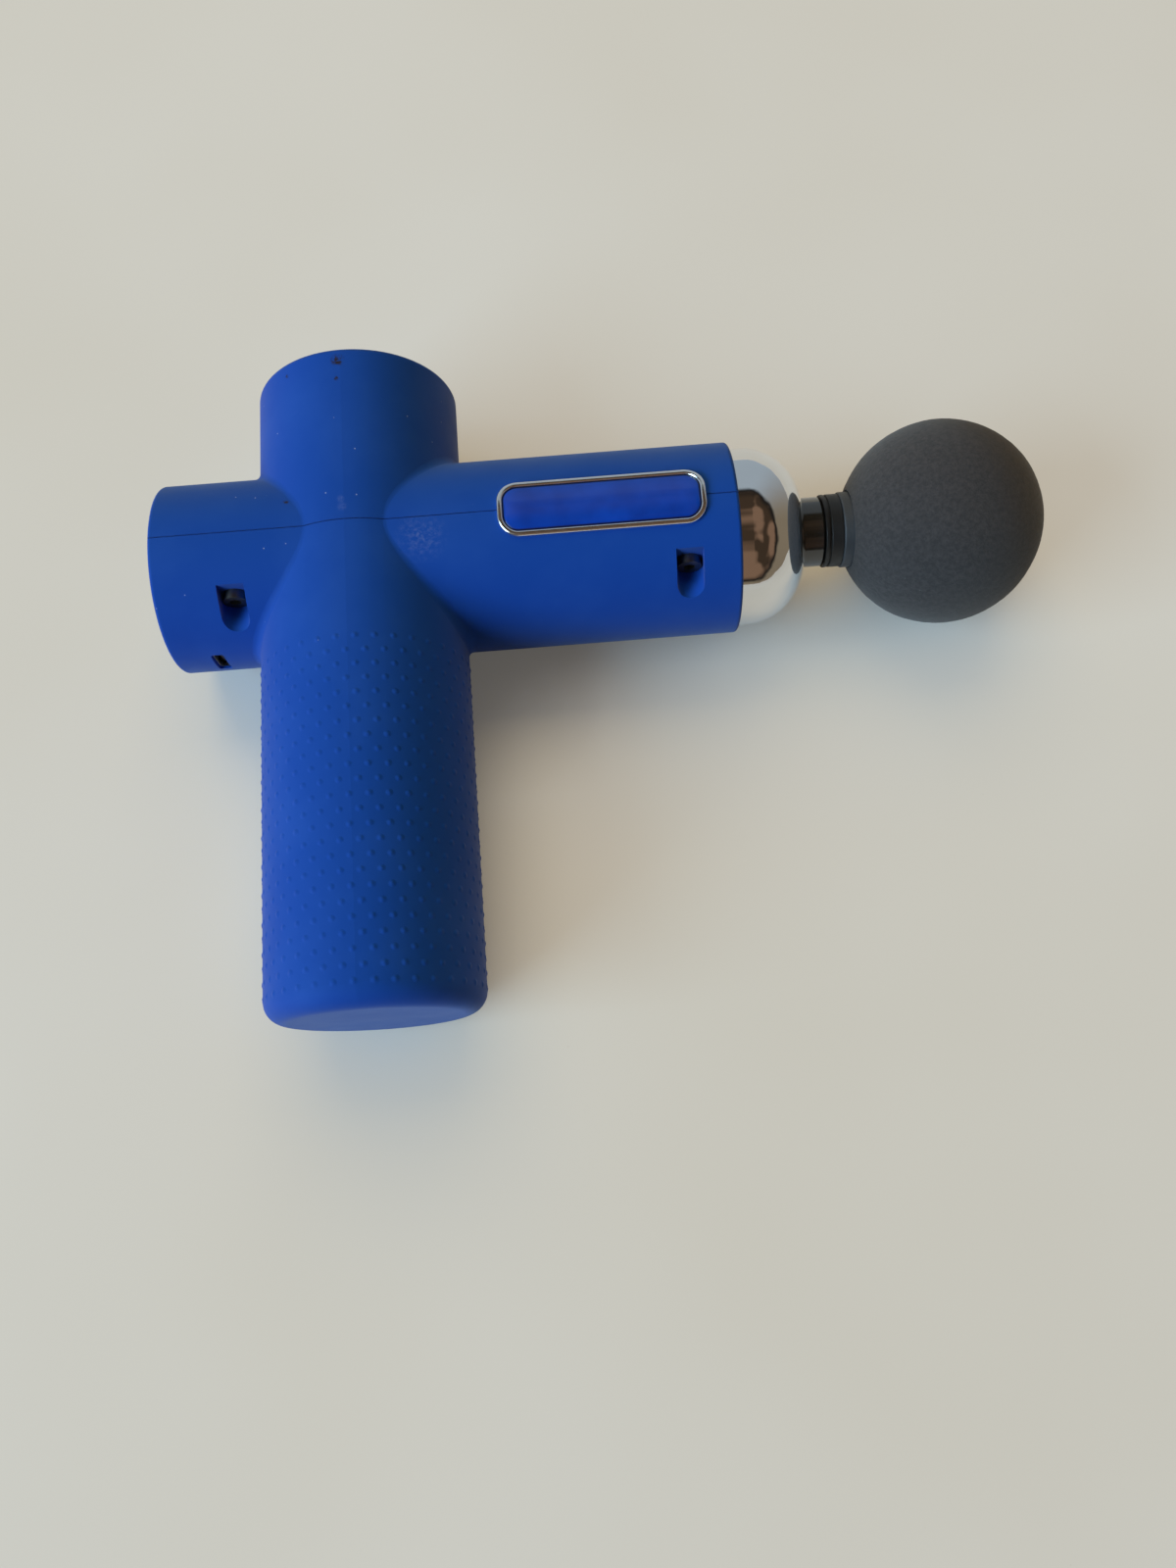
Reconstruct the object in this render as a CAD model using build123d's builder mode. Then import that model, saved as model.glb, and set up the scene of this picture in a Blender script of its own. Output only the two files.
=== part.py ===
from build123d import *
import math
import os

os.makedirs("parts", exist_ok=True)

# Cordless massage gun lying on its side, in millimetres.
# +X runs along the barrel to the ball, +Y from the handle to the motor housing,
# +Z up from the table that the handle and the ball lie on.

# ---------------------------------------------------------------- driving sizes
body_d = 45.0  # handle and motor housing
barrel_step = 3.0  # how much thinner the barrel is than the handle
stub_step = 3.6  # and the rear stub
handle_reach = 101.0  # barrel axis to the bottom of the handle
top_reach = 41.5
rear_reach = 41.8  # handle axis to the rear end
barrel_reach = 82.6  # handle axis to the front of the blue barrel
wall = 2.2  # moulded wall of the shells
end_wall = 3.0  # top and bottom ends of the shells
blend_r = 2.0  # blend where barrel and stub leave the body
top_round = 1.2
handle_round = 4.5
rim_round = 0.8

seam_gap = 0.24  # shadow line between the two shells
lip_t = 0.9  # tongue of the lower shell behind the seam
lip_h = 1.4
lip_clear = 0.12

nose_step = 1.5  # ring of blue barrel round the chrome nose
nose_length = 15.6
nose_round = 13.0
nose_wall = 2.0
nose_spigot = 6.0  # how far the nose reaches into the barrel
bush_wall = 2.2
bush_length = 10.0
bush_setback = 1.2  # bush behind the seal

tube_d = 15.4  # reciprocating output tube
tube_show = 4.5  # tube in front of the nose when drawn back
tube_core_d = 8.0
tube_floor = 4.0
tube_chamfer = 0.4
stroke = 7.0
fit = 0.05  # radial clearance of running fits
gap = 0.3  # clearance between parts that pass each other
seal_t = 0.5  # wiping ring in the mouth of the nose
seal_length = 3.0
seal_sink = 0.3

ball_d = 45.0
ridge_d = 16.1  # black ring behind the collar, a narrow lip and a wide band
ridge_length = 4.0
ridge_lip = 0.95
ridge_groove_w = 0.3
ridge_groove_depth = 0.4
ridge_round = 0.25
collar_d = 16.7
collar_show = 1.95  # collar in front of the ball's skin
collar_depth = 4.4
collar_round = 0.4
core_d = 12.0
core_depth = 16.0
stem_d = 11.0
stem_length = 24.0
stem_spare = 1.0  # bore deeper than the stem
stem_chamfer = 0.6
o_ring_wire = 1.2
o_ring_stand = 0.03  # how far an O-ring stands proud of its stem
o_ring_xs = (10.0, 16.0)  # O-rings, back from the front of the tube
seat_gap = 0.15  # head to tube when pushed home

rod_length = 30.0
rod_t = 5.0
rod_end_wall = 2.0
rod_eye_d = 9.0
crank_bearing_d = 13.0
crank_bearing_t = 4.0
crank_pin_d = 5.0
crank_pin_over = 0.4  # pin past the bearing
crank_pin_step = 0.9  # shoulder against the bearing
race_t = 1.0
shield_sink = 0.3
wrist_pin_d = 4.0
wrist_pin_inset = 1.0
piston_step = 0.6  # piston wider than its tube
piston_chamfer = 0.5
piston_length = 24.0
piston_skirt = 6.0  # piston behind the wrist pin
piston_spigot = 6.0
piston_spigot_d = 10.0
guide_wall = 2.0
guide_setback = 3.0  # rear of the sleeve in front of the piston's rear
guide_length = 30.0
damper_wall = 4.0
damper_width = 5.0
damper_inset = 4.0
rib_t = 3.0
rib_grip = 1.0  # how deep a rib sits in its damper

disc_d = 24.0  # eccentric disc under the motor
disc_t = 3.4
disc_clear = 1.1  # rod to the disc
disc_hole_d = 4.8
disc_hole_r = 7.8  # holes from the shaft
disc_hole_turn = 58.0  # and to each side of the pin, in degrees
weight_t = 2.2
motor_shaft_d = 5.0
weight_hub = 2.0  # hub wall round the shaft
weight_clear = 1.0  # disc to the motor plate
plate_t = 2.4
plate_fit = 0.5
slot_depth = 3.5  # teeth and shoes of the stator; the bearings take what it leaves
motor_bearing_t = 3.0
motor_tube_wall = 1.4
motor_tube_h = 16.0
tube_clear = 0.4  # bearing tube to the bell's inner face
stator_h = 9.0
stator_stand = 2.2
yoke_t = 1.3
shoe_t = 1.0
shoe_slot = 1.2
tooth_w = 2.0
coil_side = 1.0
coil_over = 1.0
coil_clear = 0.2
air_gap = 0.35
magnet_t = 0.9
bell_wall = 1.05
bell_lift = 1.0
bell_top = 1.6
bell_clear = 0.8  # bell to the screw bosses
bell_hub_d = 8.0
bell_hub_h = 1.5
bell_round = 1.0
bell_vent_d = 4.0
vents = 6
magnet_over = 0.5
magnet_slot = 0.8
teeth = 9
magnets = 12
motor_boss_d = 5.4
motor_boss_inset = 2.8  # screw to the inside of the shell
motor_screw_d = 2.2
motor_screw_bite = 7.0
motor_head_d = 4.2
motor_head_h = 1.6
screw_slack = 0.2  # clearance hole round a screw
screw_spare = 1.0  # hole deeper than its screw

screw_from_front = 11.2  # housing screws, back from the front of the barrel
screw_from_rear = 16.6  # and forward from the rear end
screw_inset = 5.8  # screw to the inside of the barrel
screw_seat = 10.6  # barrel axis to the flat seat of a screw
screw_d = 2.8
screw_bite = 9.0
screw_head_d = 5.2
screw_head_h = 2.0
screw_drive_d = 2.6
screw_drive_h = 1.2
pocket_w = 5.8
boss_wall = 1.2
upper_boss_d = 7.0

panel_step = 2.0  # how far the shell laps over the panel
panel_inset = 0.5
panel_fit = 0.15
rear_lip = 2.0
panel_flange_t = 1.5
button_d = 12.0
button_travel = 0.5
button_proud = 0.5
button_fit = 0.2
button_flange = 1.0
button_flange_t = 1.0
button_round = 0.4
window_count = 5
window_d = 2.2
window_circle = 22.0
window_step = 22.0
board_t = 1.6
board_clear = 0.9
peg_d = 3.0
peg_inset = 2.0
pegs = 3
switch_d = 6.0
switch_clear = 0.2  # pressed button to the switch
lamp_w = 1.6
lamp_l = 0.8
lamp_h = 0.6

port_from_rear = 9.9  # charging socket, forward from the rear end
port_w = 7.5
port_h = 2.6
port_corner = 0.6
port_depth = 7.3
port_wall = 0.3
port_fit = 0.1
port_sink = 0.9
tongue_sink = 1.0
tongue_side = 0.7  # tongue to the side of the socket
tongue_t = 0.6

badge_from_front = 28.9  # middle of the badge, back from the front of the barrel
badge_l = 44.0
badge_w = 12.5
badge_r = 4.5
badge_rim = 1.2
badge_frame_h = 0.9
badge_frame_round = 0.5
badge_plate_h = 0.6
badge_plate_round = 0.25

cell_d = 17.0
cell_length = 65.0
cell_apart = 0.3
cell_floor = 4.0  # lower holder under the cells
cell_fit = 0.1
cell_round = 0.6
holder_t = 2.0
holder_grip = 2.5
strap_t = 0.3
strap_w = 6.0
board_inset = 3.0  # drive board to the holder's rim
standoff_h = 4.0
standoff_d = 4.0
standoff_inset = 2.0
standoffs = 3
chip_w = 5.0
chip_l = 6.0
chip_t = 1.0
chip_pitch_w = 7.0
chip_pitch_l = 8.0

# ---------------------------------------------------------------- derived sizes and places
body_r = body_d / 2
barrel_r = (body_d - barrel_step) / 2
stub_r = (body_d - stub_step) / 2
nose_r = barrel_r - nose_step
ball_r = ball_d / 2
inner_body_r = body_r - wall
inner_barrel_r = barrel_r - wall
inner_stub_r = stub_r - wall
panel_r = inner_stub_r - panel_step

# along the barrel, from the handle axis
nose_tip = barrel_reach + nose_length
tube_front = nose_tip + tube_show
ridge_rear = tube_front + seat_gap
collar_rear = ridge_rear + ridge_length
ball_x = collar_rear + collar_show + math.sqrt(ball_r**2 - (collar_d / 2) ** 2)
crank_x = -stroke / 2
wrist_x = rod_length + crank_x
piston_rear = wrist_x - piston_skirt
piston_front = piston_rear + piston_length
guide_start = piston_rear + guide_setback
badge_x = barrel_reach - badge_from_front
screw_x_front = barrel_reach - screw_from_front
screw_x_rear = screw_from_rear - rear_reach
port_x = port_from_rear - rear_reach

# along the handle, from the barrel axis
disc_lift = rod_t / 2 + disc_clear
disc_top = disc_lift + disc_t
plate_lift = disc_top + weight_t + weight_clear
plate_top = plate_lift + plate_t
handle_floor = end_wall - handle_reach
cell_bottom = handle_floor + cell_floor
cell_top = cell_bottom + cell_length

# across the barrel and the handle
piston_d = tube_d + piston_step
tube_bore_d = stem_d + 2 * fit
guide_d = piston_d + 2 * fit + 2 * guide_wall
damper_d = guide_d + 2 * damper_wall
rib_bore_d = damper_d - 2 * rib_grip
rod_end_d = crank_bearing_d + 2 * rod_end_wall
screw_z = inner_barrel_r - screw_inset
motor_screw_r = inner_body_r - motor_boss_inset
bell_r = motor_screw_r - motor_boss_d / 2 - bell_clear
bell_in_r = bell_r - bell_wall
magnet_r = bell_in_r - magnet_t
stator_r = magnet_r - air_gap
motor_bearing_d = 2 * (stator_r - slot_depth - yoke_t - motor_tube_wall)

# the crossing of the two axes in the part's own frame
handle_x = (rear_reach - ball_x - ball_r) / 2
barrel_y = (handle_reach - top_reach) / 2
axis_z = max(body_d, ball_d) / 2


def across_barrel(x, y=0, z=0):
    # plane square to the barrel, its own x along +Y and y along +Z
    return Plane(origin=(handle_x + x, barrel_y + y, axis_z + z), x_dir=(0, 1, 0), z_dir=(1, 0, 0))


def across_handle(y, x=0, z=0):
    # plane square to the handle, its own x along +Z and y along +X
    return Plane(origin=(handle_x + x, barrel_y + y, axis_z + z), x_dir=(0, 0, 1), z_dir=(0, 1, 0))


def along_barrel():
    # plane through the barrel axis, its own x along +X and y along +Y
    return Plane(origin=(handle_x, barrel_y, axis_z))


def barrel_axis():
    return Axis((handle_x, barrel_y, axis_z), (1, 0, 0))


def handle_axis():
    return Axis((handle_x, barrel_y, axis_z), (0, 1, 0))


def finish_part(builder, name):
    builder.part.label = name
    export_step(builder.part, "parts/" + name + ".step")


# ---------------------------------------------------------------- outer form of the body
with BuildPart() as body_form:
    with BuildSketch(across_handle(-handle_reach)):
        Circle(body_r)
    extrude(amount=handle_reach + top_reach)
    with BuildSketch(across_barrel(0)):
        Circle(barrel_r)
    extrude(amount=barrel_reach)
    with BuildSketch(across_barrel(-rear_reach)):
        Circle(stub_r)
    extrude(amount=rear_reach)
    fillet(body_form.edges().filter_by(GeomType.BSPLINE), radius=blend_r)
    ends = body_form.edges().filter_by(GeomType.CIRCLE)
    fillet(ends.group_by(Axis.Y)[0], radius=handle_round)
    ends = body_form.edges().filter_by(GeomType.CIRCLE)
    fillet(ends.group_by(Axis.Y)[-1], radius=top_round)
    ends = body_form.edges().filter_by(GeomType.CIRCLE)
    fillet(ends.group_by(Axis.X)[-1], radius=rim_round)
    ends = body_form.edges().filter_by(GeomType.CIRCLE)
    fillet(ends.group_by(Axis.X)[0], radius=rim_round)


# hollow of both shells, open at the front and at the rear panel
with BuildPart() as body_hollow:
    with BuildSketch(across_handle(end_wall - handle_reach)):
        Circle(inner_body_r)
    extrude(amount=handle_reach + top_reach - 2 * end_wall)
    with BuildSketch(across_barrel(0)):
        Circle(inner_barrel_r)
    extrude(amount=barrel_reach + 1)
    with BuildSketch(across_barrel(rear_lip - rear_reach)):
        Circle(inner_stub_r)
    extrude(amount=rear_reach - rear_lip)
    with BuildSketch(across_barrel(-rear_reach - 1)):
        Circle(panel_r)
    extrude(amount=rear_lip + 2)


def seam_outline(grow):
    # outline of the hollow at the seam, grown sideways into the wall
    Circle(inner_body_r + grow)
    with Locations((0, barrel_reach / 2)):
        Rectangle(2 * (inner_barrel_r + grow), barrel_reach)
    stub_length = rear_reach - rear_lip
    with Locations((0, -stub_length / 2)):
        Rectangle(2 * (inner_stub_r + grow), stub_length)


def seam_ring(grow):
    # flat band between the hollow and the outline grown into the wall
    with BuildSketch(Plane.XY) as outer:
        seam_outline(grow)
    with BuildSketch(Plane.XY) as inner:
        seam_outline(0)
    return outer.sketch - inner.sketch


screw_places = []
pocket_mouths = []
pocket_open = body_r - screw_z  # a pocket is open from its screw outwards
for screw_x in (screw_x_front, screw_x_rear):
    for side in (-1, 1):
        screw_places.append((side * screw_z, screw_x))
        pocket_mouths.append((side * (screw_z + pocket_open / 2), screw_x))

damper_xs = [
    guide_start + damper_inset + damper_width / 2,
    guide_start + guide_length - damper_inset - damper_width / 2,
]


def motor_screw_places():
    return PolarLocations(motor_screw_r, 4, start_angle=45)


# webs across the barrel that hold the dampers of the guide sleeve
with BuildPart() as inner_ribs:
    for rib_x in damper_xs:
        with BuildSketch(across_barrel(rib_x - rib_t / 2)):
            Circle(inner_barrel_r + wall / 2)
            Circle(rib_bore_d / 2, mode=Mode.SUBTRACT)
        extrude(amount=rib_t)


# ---------------------------------------------------------------- upper shell, inner features
with BuildPart() as upper_inside:
    with BuildSketch(across_handle(seam_gap / 2)):
        with Locations(*screw_places):
            Circle(upper_boss_d / 2)
    extrude(amount=inner_barrel_r)
    with BuildSketch(across_handle(plate_top)):
        with motor_screw_places():
            Circle(motor_boss_d / 2)
    extrude(amount=top_reach - end_wall - plate_top)
    add(inner_ribs.part)
    add(body_form.part, mode=Mode.INTERSECT)

with BuildPart() as upper_shell:
    add(body_form.part)
    add(body_hollow.part, mode=Mode.SUBTRACT)
    add(upper_inside.part)
    split(bisect_by=across_handle(seam_gap / 2), keep=Keep.TOP)
    with BuildSketch(across_handle(seam_gap / 2)):
        add(seam_ring(lip_t + lip_clear))
    extrude(amount=lip_h + lip_clear - seam_gap / 2, mode=Mode.SUBTRACT)
    with BuildSketch(across_handle(0)):
        with Locations(*screw_places):
            Circle(screw_d / 2)
    extrude(amount=screw_bite, mode=Mode.SUBTRACT)
    with BuildSketch(across_handle(plate_top)):
        with motor_screw_places():
            Circle(motor_screw_d / 2)
    extrude(amount=motor_screw_bite + screw_spare, mode=Mode.SUBTRACT)
finish_part(upper_shell, "upper_shell")

# ---------------------------------------------------------------- lower shell
with BuildPart() as lower_inside:
    with BuildSketch(across_handle(-stub_r)):
        with Locations(*screw_places):
            Circle(pocket_w / 2 + boss_wall)
        with Locations(*pocket_mouths):
            Rectangle(pocket_open, pocket_w + 2 * boss_wall)
    extrude(amount=stub_r - seam_gap / 2)
    add(inner_ribs.part)
    add(body_form.part, mode=Mode.INTERSECT)

with BuildPart() as lower_shell:
    add(body_form.part)
    add(body_hollow.part, mode=Mode.SUBTRACT)
    add(lower_inside.part)
    split(bisect_by=across_handle(-seam_gap / 2), keep=Keep.BOTTOM)
    with BuildSketch(across_handle(-seam_gap / 2)):
        add(seam_ring(lip_t))
    extrude(amount=seam_gap / 2 + lip_h)
    # pockets of the housing screws, flat seat at the top
    with BuildSketch(across_handle(-screw_seat)):
        with Locations(*screw_places):
            Circle(pocket_w / 2)
        with Locations(*pocket_mouths):
            Rectangle(pocket_open, pocket_w)
    extrude(amount=-body_r, mode=Mode.SUBTRACT)
    with BuildSketch(across_handle(-screw_seat)):
        with Locations(*screw_places):
            Circle(screw_d / 2 + screw_slack)
    extrude(amount=screw_seat, mode=Mode.SUBTRACT)
    # opening of the charging socket
    with BuildSketch(across_handle(-stub_r, x=port_x)):
        RectangleRounded(port_w + 2 * port_fit, port_h + 2 * port_fit, port_corner + port_fit)
    extrude(amount=port_depth, mode=Mode.SUBTRACT)
finish_part(lower_shell, "lower_shell")

# ---------------------------------------------------------------- housing screws
with BuildPart() as housing_screws:
    with BuildSketch(across_handle(-screw_seat)):
        with Locations(*screw_places):
            Circle(screw_d / 2)
    extrude(amount=screw_seat + screw_bite - screw_spare)
    with BuildSketch(across_handle(-screw_seat)):
        with Locations(*screw_places):
            Circle(screw_head_d / 2)
    extrude(amount=-screw_head_h)
    with BuildSketch(across_handle(-screw_seat - screw_head_h)):
        with Locations(*screw_places):
            RegularPolygon(screw_drive_d / 2, 6)
    extrude(amount=screw_drive_h, mode=Mode.SUBTRACT)
finish_part(housing_screws, "housing_screws")

# ---------------------------------------------------------------- nose
spigot_r = inner_barrel_r - fit
nose_turn_x = nose_tip - nose_round
nose_turn_r = nose_r - nose_round
seal_bore_r = tube_d / 2 + 2 * fit
nose_hole_r = seal_bore_r + seal_t
bush_r = tube_d / 2 + fit + bush_wall
hub_r = bush_r + nose_wall
shoulder_x = nose_tip - seal_length - bush_setback
bush_rear = shoulder_x - bush_length
nose_edge_x = nose_turn_x + math.sqrt(nose_round**2 - (nose_hole_r - nose_turn_r) ** 2)
dome_r = nose_round - nose_wall
lining_r = spigot_r - nose_wall
lining_x = nose_turn_x + math.sqrt(dome_r**2 - (lining_r - nose_turn_r) ** 2)
hub_x = nose_turn_x + math.sqrt(dome_r**2 - (hub_r - nose_turn_r) ** 2)


def point_on_turn(radius, angle):
    turn = math.radians(angle)
    return (nose_turn_x + radius * math.cos(turn), nose_turn_r + radius * math.sin(turn))


def middle_angle(start_r, end_r, radius):
    first = math.degrees(math.asin((start_r - nose_turn_r) / radius))
    last = math.degrees(math.asin((end_r - nose_turn_r) / radius))
    return (first + last) / 2


with BuildPart() as nose_cone:
    with BuildSketch(along_barrel()):
        with BuildLine():
            Polyline(
                (barrel_reach - nose_spigot, lining_r),
                (barrel_reach - nose_spigot, spigot_r),
                (barrel_reach, spigot_r),
                (barrel_reach, nose_r),
                (nose_turn_x, nose_r),
            )
            outer_angle = middle_angle(nose_r, nose_hole_r, nose_round)
            ThreePointArc(
                (nose_turn_x, nose_r),
                point_on_turn(nose_round, outer_angle),
                (nose_edge_x, nose_hole_r),
            )
            Polyline(
                (nose_edge_x, nose_hole_r),
                (shoulder_x, nose_hole_r),
                (shoulder_x, bush_r),
                (bush_rear, bush_r),
                (bush_rear, hub_r),
                (hub_x, hub_r),
            )
            inner_angle = middle_angle(lining_r, hub_r, dome_r)
            ThreePointArc(
                (hub_x, hub_r),
                point_on_turn(dome_r, inner_angle),
                (lining_x, lining_r),
            )
            Line((lining_x, lining_r), (barrel_reach - nose_spigot, lining_r))
        make_face()
    revolve(axis=barrel_axis())
finish_part(nose_cone, "nose_cone")

with BuildPart() as nose_bush:
    with BuildSketch(across_barrel(bush_rear)):
        Circle(bush_r)
        Circle(tube_d / 2 + fit, mode=Mode.SUBTRACT)
    extrude(amount=bush_length)
finish_part(nose_bush, "nose_bush")

with BuildPart() as nose_seal:
    with BuildSketch(across_barrel(nose_edge_x - seal_sink)):
        Circle(nose_hole_r)
        Circle(seal_bore_r, mode=Mode.SUBTRACT)
    extrude(amount=-seal_length)
finish_part(nose_seal, "nose_seal")

# ---------------------------------------------------------------- badge
def badge_outline(shrink):
    return RectangleRounded(badge_l - 2 * shrink, badge_w - 2 * shrink, badge_r - shrink, mode=Mode.PRIVATE)


def off_barrel(edge):
    # height of an edge above the skin of the barrel
    start = edge @ 0
    return math.hypot(start.Y - barrel_y, start.Z - axis_z) - barrel_r


badge_plane = Plane(origin=(handle_x + badge_x, barrel_y, axis_z))
with BuildPart() as badge_frame:
    with BuildSketch(badge_plane):
        add(badge_outline(0))
        add(badge_outline(badge_rim), mode=Mode.SUBTRACT)
    extrude(amount=2 * barrel_r)
    with BuildSketch(across_barrel(badge_x - badge_l)):
        Circle(barrel_r + badge_frame_h)
        Circle(barrel_r, mode=Mode.SUBTRACT)
    extrude(amount=2 * badge_l, mode=Mode.INTERSECT)
    outer_edges = badge_frame.edges().filter_by(lambda edge: off_barrel(edge) > badge_frame_h - fit)
    fillet(outer_edges, radius=badge_frame_round)
finish_part(badge_frame, "badge_frame")

with BuildPart() as badge_plate:
    with BuildSketch(badge_plane):
        add(badge_outline(badge_rim))
    extrude(amount=2 * barrel_r)
    with BuildSketch(across_barrel(badge_x - badge_l)):
        Circle(barrel_r + badge_plate_h)
        Circle(barrel_r, mode=Mode.SUBTRACT)
    extrude(amount=2 * badge_l, mode=Mode.INTERSECT)
    outer_edges = badge_plate.edges().filter_by(lambda edge: off_barrel(edge) > badge_plate_h - fit)
    fillet(outer_edges, radius=badge_plate_round)
finish_part(badge_plate, "badge_plate")

# ---------------------------------------------------------------- control panel in the rear end
panel_face = panel_inset - rear_reach
lip_face = rear_lip - rear_reach
panel_back = lip_face + panel_flange_t
board_inner = port_x - port_h / 2
board_outer = board_inner - board_t
button_r = button_d / 2
button_back = panel_back + fit + button_flange_t
switch_h = board_outer - button_back - button_travel - switch_clear


def window_places():
    # an arc of places above the button
    half = window_step * (window_count - 1) / 2
    return PolarLocations(window_circle / 2, window_count, -half, window_step * window_count)


with BuildPart() as rear_panel:
    with BuildSketch(across_barrel(panel_face)):
        Circle(panel_r - panel_fit)
    extrude(amount=lip_face - panel_face)
    with BuildSketch(across_barrel(lip_face)):
        Circle(inner_stub_r - panel_fit)
    extrude(amount=panel_flange_t)
    with BuildSketch(across_barrel(panel_back)):
        with PolarLocations(panel_r - peg_inset, pegs, start_angle=180):
            Circle(peg_d / 2)
    extrude(amount=board_outer - panel_back)
    with BuildSketch(across_barrel(panel_face)):
        Circle(button_r + button_fit)
        with window_places():
            Circle(window_d / 2)
    extrude(amount=panel_back - panel_face, mode=Mode.SUBTRACT)
finish_part(rear_panel, "rear_panel")

with BuildPart() as power_button:
    with BuildSketch(across_barrel(panel_face - button_proud)):
        Circle(button_r)
    extrude(amount=button_proud + panel_back + fit - panel_face)
    fillet(power_button.edges().group_by(Axis.X)[0], radius=button_round)
    with BuildSketch(across_barrel(panel_back + fit)):
        Circle(button_r + button_fit + button_flange)
    extrude(amount=button_flange_t)
finish_part(power_button, "power_button")

with BuildPart() as light_windows:
    with BuildSketch(across_barrel(panel_face)):
        with window_places():
            Circle(window_d / 2)
    extrude(amount=panel_back - panel_face)
finish_part(light_windows, "light_windows")

with BuildPart() as control_board:
    with BuildSketch(across_barrel(board_outer)):
        Circle(inner_stub_r - board_clear)
    extrude(amount=board_t)
finish_part(control_board, "control_board")

with BuildPart() as button_switch:
    with BuildSketch(across_barrel(board_outer)):
        Circle(switch_d / 2)
    extrude(amount=-switch_h)
finish_part(button_switch, "button_switch")

with BuildPart() as status_lamps:
    with BuildSketch(across_barrel(board_outer)):
        with window_places():
            Rectangle(lamp_w, lamp_l)
    extrude(amount=-lamp_h)
finish_part(status_lamps, "status_lamps")

# ---------------------------------------------------------------- charging socket
port_mouth = port_sink - stub_r
with BuildPart() as port_shell:
    with BuildSketch(across_handle(port_mouth, x=port_x)):
        RectangleRounded(port_w, port_h, port_corner)
    extrude(amount=port_depth)
    with BuildSketch(across_handle(port_mouth, x=port_x)):
        RectangleRounded(port_w - 2 * port_wall, port_h - 2 * port_wall, port_corner - port_wall)
    extrude(amount=port_depth - port_wall, mode=Mode.SUBTRACT)
finish_part(port_shell, "port_shell")

with BuildPart() as port_tongue:
    with BuildSketch(across_handle(port_mouth + tongue_sink, x=port_x)):
        Rectangle(port_w - 2 * port_wall - 2 * tongue_side, tongue_t)
    extrude(amount=port_depth - port_wall - tongue_sink)
finish_part(port_tongue, "port_tongue")

# ---------------------------------------------------------------- motor, fixed part
with BuildPart() as motor_plate:
    with BuildSketch(across_handle(plate_lift)):
        Circle(inner_body_r - plate_fit)
        with motor_screw_places():
            Circle(motor_screw_d / 2 + screw_slack, mode=Mode.SUBTRACT)
        with PolarLocations(stator_r - shoe_t, vents):
            Circle(bell_vent_d / 2, mode=Mode.SUBTRACT)
    extrude(amount=plate_t)
    with BuildSketch(across_handle(plate_top)):
        Circle(motor_bearing_d / 2 + motor_tube_wall)
    extrude(amount=motor_tube_h)
    with BuildSketch(across_handle(plate_lift)):
        Circle(motor_bearing_d / 2)
    extrude(amount=plate_t + motor_tube_h, mode=Mode.SUBTRACT)
finish_part(motor_plate, "motor_plate")

with BuildPart() as motor_bearings:
    for bearing_y in (plate_lift, plate_top + motor_tube_h - motor_bearing_t):
        with BuildSketch(across_handle(bearing_y)):
            Circle(motor_bearing_d / 2)
            Circle(motor_shaft_d / 2 + fit, mode=Mode.SUBTRACT)
        extrude(amount=motor_bearing_t)
finish_part(motor_bearings, "motor_bearings")

with BuildPart() as motor_screws:
    with BuildSketch(across_handle(plate_lift)):
        with motor_screw_places():
            Circle(motor_screw_d / 2)
    extrude(amount=plate_t + motor_screw_bite)
    with BuildSketch(across_handle(plate_lift)):
        with motor_screw_places():
            Circle(motor_head_d / 2)
    extrude(amount=-motor_head_h)
finish_part(motor_screws, "motor_screws")

stator_lift = plate_top + stator_stand
stator_bore_r = motor_bearing_d / 2 + motor_tube_wall
yoke_r = stator_bore_r + yoke_t
shoe_r = stator_r - shoe_t
tooth_length = shoe_r - yoke_r


def tooth_places():
    return PolarLocations((yoke_r + shoe_r) / 2, teeth)


with BuildPart() as stator_core:
    with BuildSketch(across_handle(stator_lift)):
        Circle(stator_r)
        Circle(shoe_r, mode=Mode.SUBTRACT)
        with PolarLocations(stator_r, teeth, start_angle=180 / teeth):
            Rectangle(4 * shoe_t, shoe_slot, mode=Mode.SUBTRACT)
        with tooth_places():
            Rectangle(tooth_length + shoe_t, tooth_w)
        Circle(yoke_r)
        Circle(stator_bore_r, mode=Mode.SUBTRACT)
    extrude(amount=stator_h)
finish_part(stator_core, "stator_core")

with BuildPart() as stator_coils:
    with BuildSketch(across_handle(stator_lift - coil_over)):
        with tooth_places():
            Rectangle(tooth_length - 2 * coil_clear, tooth_w + 2 * coil_side)
    extrude(amount=stator_h + 2 * coil_over)
    with BuildSketch(across_handle(stator_lift)):
        with tooth_places():
            Rectangle(tooth_length, tooth_w)
    extrude(amount=stator_h, mode=Mode.SUBTRACT)
finish_part(stator_coils, "stator_coils")

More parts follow.
